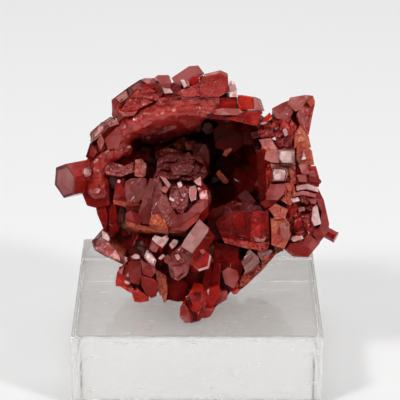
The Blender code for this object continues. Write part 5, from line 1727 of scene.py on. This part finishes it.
@dataclass(frozen=True)
class Hollow:
    """The open hollow in the rock, and the crust of crystals that lines it, painted in shade
    colours.
    """

    centre: Triple = (-0.8, 3.6, -0.4)
    radii: Triple = (10.6, 7.9, 8.4)
    skin: float = 0.9
    mouth: float = -1.2
    wall: float = 0.6
    wall_swell: float = 0.7
    wall_scale: float = 0.6
    druse: int = 90
    lowest: float = -1.0
    rise: float = 1.1
    seed: int = 117
    druse_seed: int = 7
    tilt: float = 0.5
    width: Pair = (0.35, 0.95)
    reach: Pair = (1.1, 2.2)
    length: float = 2.4

    def lining(self) -> bmesh.types.BMesh:
        """The uneven wall behind the crystals, open towards the viewer."""
        bm = oval(self.centre, [radius - self.skin for radius in self.radii], 4)
        for vert in bm.verts:
            inward = (Vector(self.centre) - vert.co).normalized()
            vert.co += inward * self.wall_swell * noise.noise(vert.co * self.wall_scale)
        cut_off(bm, (0.0, 0.0, self.mouth), OUTWARD)
        bmesh.ops.reverse_faces(bm, faces=bm.faces)
        bmesh.ops.solidify(bm, geom=bm.faces[:], thickness=-self.wall)
        return bm

    def small_crystals(self) -> list[Prism]:
        """Small crystals that point in from the wall."""
        rng = random.Random(self.druse_seed)
        found = []
        for i in range(self.druse):
            out = self.lowest + self.rise * (i + 0.5) / self.druse
            unit = unit_way(out, GOLDEN_TURN * i)
            wall = Vector(self.centre) + unit * Vector(self.radii)
            tilt = chance_way(rng, self.tilt)
            size = rng.uniform(*self.width)
            axis = (tilt - unit).normalized()
            end = wall + axis * rng.uniform(*self.reach)
            found.append(Prism(tuple(end), tuple(axis), size, self.length,
                               roll=rng.uniform(0.0, 60.0), stretch=rng.uniform(1.0, 1.6),
                               cap=rng.choice((DARK, DARK, DUSKY)), side=DARK))
        return found

    def build(self, workshop: Workshop) -> bpy.types.Object:
        """Line the hollow.

        Args:
            workshop: Places the mesh and gives the materials.

        Returns:
            The piece.
        """
        mesh = ClumpMesh(self.seed)
        for index, crystal in enumerate(HOLLOW_CRYSTALS):
            mesh.add(crystal, index)
        for crystal in self.small_crystals():
            mesh.add(crystal)
        wall = self.lining()
        # The lining wall takes the painted shade colour.
        dark = mesh.skin_index(DARK)
        for face in wall.faces:
            face.material_index = dark
        pour(wall, mesh.bm)
        obj = mesh.finish("cavity_druse", workshop)
        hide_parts("cavity_crust")
        return obj


def melted(lumps: list[bmesh.types.BMesh], voxel: float) -> bmesh.types.BMesh:
    """Join closed meshes in one even skin, and use them up.

    Args:
        lumps: The meshes.
        voxel: The skin's fineness.

    Returns:
        The mesh.
    """
    whole = bmesh.new()
    for lump in lumps:
        pour(lump, whole)
    melt = new_object("melt", whole)
    mesh = melt.data
    remesh = melt.modifiers.new("melt", "REMESH")
    remesh.mode = "VOXEL"
    remesh.voxel_size = voxel
    graph = bpy.context.evaluated_depsgraph_get()
    bm = bmesh.new()
    bm.from_mesh(melt.evaluated_get(graph).data)
    bpy.data.objects.remove(melt)
    bpy.data.meshes.remove(mesh)
    return bm


def between(here: Lump, there: Lump, count: int) -> list[Lump]:
    """Ovals on the way from one to the next, the first of them included.

    Args:
        here: The first oval's centre and radii.
        there: The next oval's centre and radii.
        count: How many ovals to make.

    Returns:
        The ovals.
    """
    return [tuple(tuple(Vector(start).lerp(Vector(end), i / count))
                  for start, end in zip(here, there)) for i in range(count)]


@dataclass(frozen=True)
class Mass:
    """Crystals so closely grown together that they make one lumpy mass.

    The lumps are ovals, joined one to the next in the order given.
    """

    name: str
    node: str
    lumps: tuple[Lump, ...]
    skin: Skin
    links: int = 3
    smoothing: int = 6
    voxel: float = 0.22
    swell: float = 0.16
    grain: float = 0.5

    def build(self, workshop: Workshop) -> bpy.types.Object:
        """Make the mass.

        Args:
            workshop: Places the mesh and gives the materials.

        Returns:
            The piece.
        """
        chain = [lump for here, there in zip(self.lumps, self.lumps[1:])
                 for lump in between(here, there, self.links)] + [self.lumps[-1]]
        bm = melted([oval(centre, radii, 3) for centre, radii in chain], self.voxel)
        for _ in range(self.smoothing):
            bmesh.ops.smooth_vert(bm, verts=bm.verts, factor=0.5, use_axis_x=True,
                                  use_axis_y=True, use_axis_z=True)
        bm.normal_update()
        for vert in bm.verts:
            grain = noise.fractal(vert.co * self.grain, 0.8, 2.0, 3)
            vert.co += vert.normal * self.swell * grain
        growth = bm.loops.layers.uv.new(GROWTH_MAP)
        for face in bm.faces:
            face.smooth = True
            for loop in face.loops:
                loop[growth].uv = loop.vert.co.xz
        obj = workshop.piece(self.name, bm)
        obj.data.materials.append(workshop.skin(self.skin))
        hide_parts(self.node)
        return obj


MASSES = (
    Mass("canopy_underside", "canopy_crystals", (
        ((-10.4, 6.3, 0.4), (1.5, 1.3, 2.0)),
        ((-9.2, 7.9, 0.8), (1.6, 1.6, 2.3)),
        ((-7.4, 9.2, 1.2), (1.8, 1.7, 2.6)),
        ((-5.0, 10.0, 1.4), (2.0, 1.6, 2.7)),
        ((-2.6, 10.5, 1.4), (2.2, 1.4, 2.7)),
        ((0.0, 10.5, 1.2), (2.0, 1.3, 2.6)),
        ((-2.4, 9.1, -1.1), (2.8, 1.7, 2.6)),
        ((-6.0, 8.1, -0.8), (2.4, 1.7, 2.6)),
    ), SHEEN, swell=0.30, grain=0.9),
    Mass("left_ridge", "left_wall_crystals", (
        ((-9.4, 5.7, 0.2), (1.4, 1.0, 1.8)),
        ((-11.2, 5.1, 0.6), (1.4, 1.1, 1.8)),
        ((-12.5, 4.2, 0.7), (1.2, 1.4, 1.7)),
        ((-12.7, 2.4, 0.7), (1.2, 1.6, 1.7)),
        ((-12.6, 0.6, 0.6), (1.6, 1.7, 1.6)),
    ), SHEEN, swell=0.34, grain=1.1),
)


@dataclass(frozen=True)
class Rock:
    """The broken, iron-stained rock that the crystals grow on."""

    lumps: tuple[Lump, ...] = (
        ((-1.0, -1.0, -6.4), (11.0, 10.4, 6.0)),
        ((7.5, -1.5, -5.0), (6.6, 7.6, 5.4)),
        ((-6.3, 5.3, -5.2), (6.6, 6.0, 5.4)),
        ((0.9, 8.6, -4.4), (6.6, 5.0, 4.6)),
        ((6.0, 7.6, -3.6), (4.2, 3.4, 3.6)),
        ((-0.5, -7.4, -3.4), (7.6, 5.4, 5.6)),
        ((11.2, 4.6, -2.6), (3.6, 5.0, 4.2)),
        ((-8.8, -2.0, -3.4), (3.6, 5.2, 4.6)),
    )
    points: int = 46
    reach: Pair = (0.86, 1.08)
    voxel: float = 0.38
    crag: float = 0.75
    crag_level: float = 0.55
    pits: float = 0.35
    crag_scale: float = 0.42
    pit_scale: float = 0.9
    least_depth: float = 0.05

    def hull(self, centre: Triple, radii: Triple, rng: random.Random) -> bmesh.types.BMesh:
        """A broken lump: the hull of points scattered over an oval.

        Args:
            centre: The oval's middle.
            radii: The oval's radii.
            rng: The source of chance.

        Returns:
            The mesh.
        """
        bm = bmesh.new()
        for i in range(self.points):
            unit = unit_way(1.0 - 2.0 * (i + 0.5) / self.points, GOLDEN_TURN * i).xzy
            reach = rng.uniform(*self.reach)
            bm.verts.new(Vector(centre) + unit * Vector(radii) * reach)
        hull = bmesh.ops.convex_hull(bm, input=bm.verts)
        inside = [item for item in hull["geom_interior"]
                  if isinstance(item, bmesh.types.BMVert)]
        bmesh.ops.delete(bm, geom=inside, context="VERTS")
        bmesh.ops.recalc_face_normals(bm, faces=bm.faces)
        return bm

    def roughen(self, bm: bmesh.types.BMesh, hollow: Hollow) -> None:
        """Give the rock crags and pits, and push it back out of the hollow.

        Args:
            bm: The mesh.
            hollow: The hollow in the rock.
        """
        bm.normal_update()
        middle = Vector(hollow.centre)
        radii = Vector(hollow.radii)
        for vert in bm.verts:
            coarse = noise.voronoi(vert.co * self.crag_scale)[0][0] - self.crag_level
            fine = noise.fractal(vert.co * self.pit_scale, 0.7, 2.0, 4)
            vert.co += vert.normal * (self.crag * coarse + self.pits * fine)
        for vert in bm.verts:
            local = vert.co - middle
            depth = Vector([local[i] / radii[i] for i in range(3)]).length
            if depth < 1.0 and vert.co.z > middle.z - radii.z:
                vert.co = middle + local / max(depth, self.least_depth)

    def build(self, workshop: Workshop, hollow: Hollow) -> bpy.types.Object:
        """Make the rock.

        Args:
            workshop: Places the mesh and gives the materials.
            hollow: The hollow in the rock.

        Returns:
            The piece.
        """
        rng = random.Random("matrix")
        bm = melted([self.hull(centre, radii, rng) for centre, radii in self.lumps],
                    self.voxel)
        self.roughen(bm, hollow)
        obj = workshop.piece("matrix_rough", bm)
        finish = RockFinish()
        obj.data.materials.append(workshop.painted("iron_stained_rock", finish))
        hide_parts("matrix")
        return obj


@dataclass(frozen=True)
class RearCrystals:
    """The crystals on the rock's sides and back."""

    centre: Triple = (0.3, 0.6, -4.6)
    radii: Triple = (13.6, 12.2, 8.0)
    count: int = 60
    wander: float = 0.2
    tilt: float = 0.5
    width: Pair = (0.75, 1.9)
    length: Pair = (3.5, 5.5)
    shoots: int = 5
    small: int = 150
    small_turn: float = 1.7
    small_reach: Pair = (0.80, 0.92)
    small_tilt: float = 0.7
    small_width: Pair = (0.3, 0.9)
    small_length: float = 3.0
    front_limit: float = 0.22

    def out(self, index: int, count: int) -> float:
        """How far out a crystal looks, from 1 for straight out to -1 for straight back."""
        return self.front_limit - (1.0 + self.front_limit) * (index + 0.5) / count

    def large(self) -> list[Prism]:
        """The large crystals, which the plain solid has too."""
        rng = random.Random(11)
        found = []
        for i in range(self.count):
            out = self.out(i, self.count)
            unit = unit_way(out, GOLDEN_TURN * i + rng.uniform(-self.wander, self.wander))
            reach = rng.uniform(0.90, 0.98 - 0.08 * out)
            end = Vector(self.centre) + unit * Vector(self.radii) * reach
            tilt = chance_way(rng, self.tilt)
            found.append(Prism(tuple(end), tuple(unit + tilt), rng.uniform(*self.width),
                               rng.uniform(*self.length), roll=rng.uniform(0.0, 60.0),
                               stretch=rng.uniform(1.0, 1.5), side=RED if i % 3 else GLOW,
                               shoots=self.shoots))
        return found

    def little(self) -> list[Prism]:
        """The small crystals between them."""
        rng = random.Random(12)
        found = []
        for i in range(self.small):
            unit = unit_way(self.out(i, self.small), GOLDEN_TURN * i * self.small_turn)
            reach = rng.uniform(*self.small_reach)
            end = Vector(self.centre) + unit * Vector(self.radii) * reach
            tilt = chance_way(rng, self.small_tilt)
            found.append(Prism(tuple(end), tuple(unit + tilt), rng.uniform(*self.small_width),
                               self.small_length, roll=rng.uniform(0.0, 60.0),
                               stretch=rng.uniform(1.0, 1.6),
                               cap=rng.choice((CLEAN, BLUSH, RED)),
                               side=rng.choice((RED, GLOW, RUST))))
        return found

    def build(self, workshop: Workshop) -> list[bpy.types.Object]:
        """Grow the crystals.

        Args:
            workshop: Places the mesh and gives the materials.

        Returns:
            The pieces.
        """
        pieces = []
        for name, crystals, seed in (("rear_crystals", self.large(), 118),
                                     ("rear_druse", self.little(), 119)):
            mesh = ClumpMesh(seed)
            for crystal in crystals:
                mesh.add(crystal)
            obj = mesh.finish(name, workshop)
            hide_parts("matrix")
            pieces.append(obj)
        return pieces


# ------------------------------------------------------------------- the block and the room


@dataclass(frozen=True)
class DisplayBlock:
    """The clear acrylic block, with polished edges."""

    edge: float = 0.35 * MM

    def build(self) -> bpy.types.Object:
        """Make the block in the place of its plain solid.

        Returns:
            The piece.
        """
        low, high = (Vector(corner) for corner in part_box("display_block"))
        bm = bmesh.new()
        bmesh.ops.create_cube(bm, size=1.0)
        bmesh.ops.scale(bm, vec=high - low, verts=bm.verts)
        bmesh.ops.translate(bm, vec=(high + low) / 2.0, verts=bm.verts)
        bevelled(bm, bm.edges[:], self.edge, 3)
        obj = new_object("acrylic_block", bm)
        finish = AcrylicFinish()
        obj.data.materials.append(finish.material("clear_acrylic"))
        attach(obj, BODY)
        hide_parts("display_block")
        return obj


@dataclass(frozen=True)
class SoftLight:
    """An area light that looks at the specimen."""

    place: Triple
    size: float
    power: float


@dataclass(frozen=True)
class Studio:
    """The pale floor, the soft light and the camera."""

    camera_place: Triple = (0.357, -250.62, 112.85)
    lens: float = 186.75
    sensor: float = 36.0
    backdrop: Colour = (0.845, 0.845, 0.845)
    room: Colour = (0.02, 0.02, 0.02)
    sky: Colour = (0.7, 0.7, 0.7)
    overhead: Pair = (0.35, 0.95)
    behind: Pair = (0.0, 0.6)
    floor_size: float = 3.0
    floor_gap: float = 0.02 * MM
    floor_roughness: float = 0.9
    aim: Triple = (0.0, 0.0, 0.022)
    lights: tuple[SoftLight, ...] = (
        SoftLight((-0.22, -0.20, 0.34), 0.08, 0.64),
        SoftLight((0.30, -0.22, 0.26), 0.06, 0.62),
        SoftLight((0.00, 0.22, 0.38), 0.20, 0.4),
    )

    def build(self, block_top: float) -> None:
        """Set up the room.

        Args:
            block_top: The height of the block's top.
        """
        data = bpy.data.cameras.new("camera")
        data.lens = self.lens
        data.sensor_width = self.sensor
        data.sensor_height = self.sensor
        camera = bpy.data.objects.new("camera", data)
        x, y, up = self.camera_place
        camera.location = (x * MM, y * MM, up * MM + block_top)
        camera.rotation_euler = (math.pi / 2.0 - LEAN, 0.0, 0.0)
        bpy.context.scene.collection.objects.link(camera)
        bpy.context.scene.camera = camera
        for index, light in enumerate(self.lights):
            self.add_light(f"soft_light_{index}", light)
        self.add_floor()
        self.add_world()
        bpy.context.scene.view_settings.view_transform = "Standard"

    def add_light(self, name: str, light: SoftLight) -> None:
        """Hang a light."""
        data = bpy.data.lights.new(name, "AREA")
        data.shape = "SQUARE"
        data.size = light.size
        data.energy = light.power
        obj = bpy.data.objects.new(name, data)
        obj.location = light.place
        way = Vector(self.aim) - Vector(light.place)
        obj.rotation_euler = way.to_track_quat("-Z", "Y").to_euler()
        bpy.context.scene.collection.objects.link(obj)

    def add_floor(self) -> None:
        """Lay the floor."""
        bm = bmesh.new()
        bmesh.ops.create_grid(bm, x_segments=1, y_segments=1, size=self.floor_size)
        bmesh.ops.translate(bm, vec=(0.0, 0.0, -self.floor_gap), verts=bm.verts)
        floor = new_object("floor", bm)
        paint = Paint("floor")
        floor.data.materials.append(paint.done(Base_Color=self.backdrop,
                                               Roughness=self.floor_roughness))

    def add_world(self) -> None:
        """Fill the room with light, brighter overhead."""
        world = bpy.data.worlds.new("room")
        world.use_nodes = True
        bpy.context.scene.world = world
        sheet = NodeSheet(world.node_tree)
        way = sheet.add("ShaderNodeTexCoord").outputs["Generated"]
        split = sheet.add("ShaderNodeSeparateXYZ", {0: way}).outputs
        overhead = sheet.ramp(split[2], *self.overhead)
        behind = sheet.ramp(split[1], *self.behind)
        light = sheet.mix(sheet.math("MAXIMUM", overhead, behind), self.room, self.sky)
        path = sheet.add("ShaderNodeLightPath").outputs
        seen = sheet.math("MAXIMUM", path["Is Camera Ray"], path["Is Transmission Ray"])
        shown = sheet.mix(seen, light, self.backdrop)
        sheet.fill(sheet.tree.nodes["Background"], {"Color": shown, "Strength": 1.0})


# ------------------------------------------------------------------------------------ main


def main() -> None:
    """Build every piece on the frame."""
    logging.basicConfig(level=logging.INFO, format="%(message)s")
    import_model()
    block_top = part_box("display_block")[1][2]
    workshop = Workshop(block_top)
    hollow = Hollow()
    pieces = [DisplayBlock().build()]
    pieces += [clump.build(workshop) for clump in CLUMPS]
    pieces += [mass.build(workshop) for mass in MASSES]
    pieces.append(hollow.build(workshop))
    pieces.append(Rock().build(workshop, hollow))
    pieces += RearCrystals().build(workshop)
    for piece in pieces:
        LOG.info("%s: %d faces", piece.name, len(piece.data.polygons))
    Studio().build(block_top)


if __name__ == "__main__":
    main()
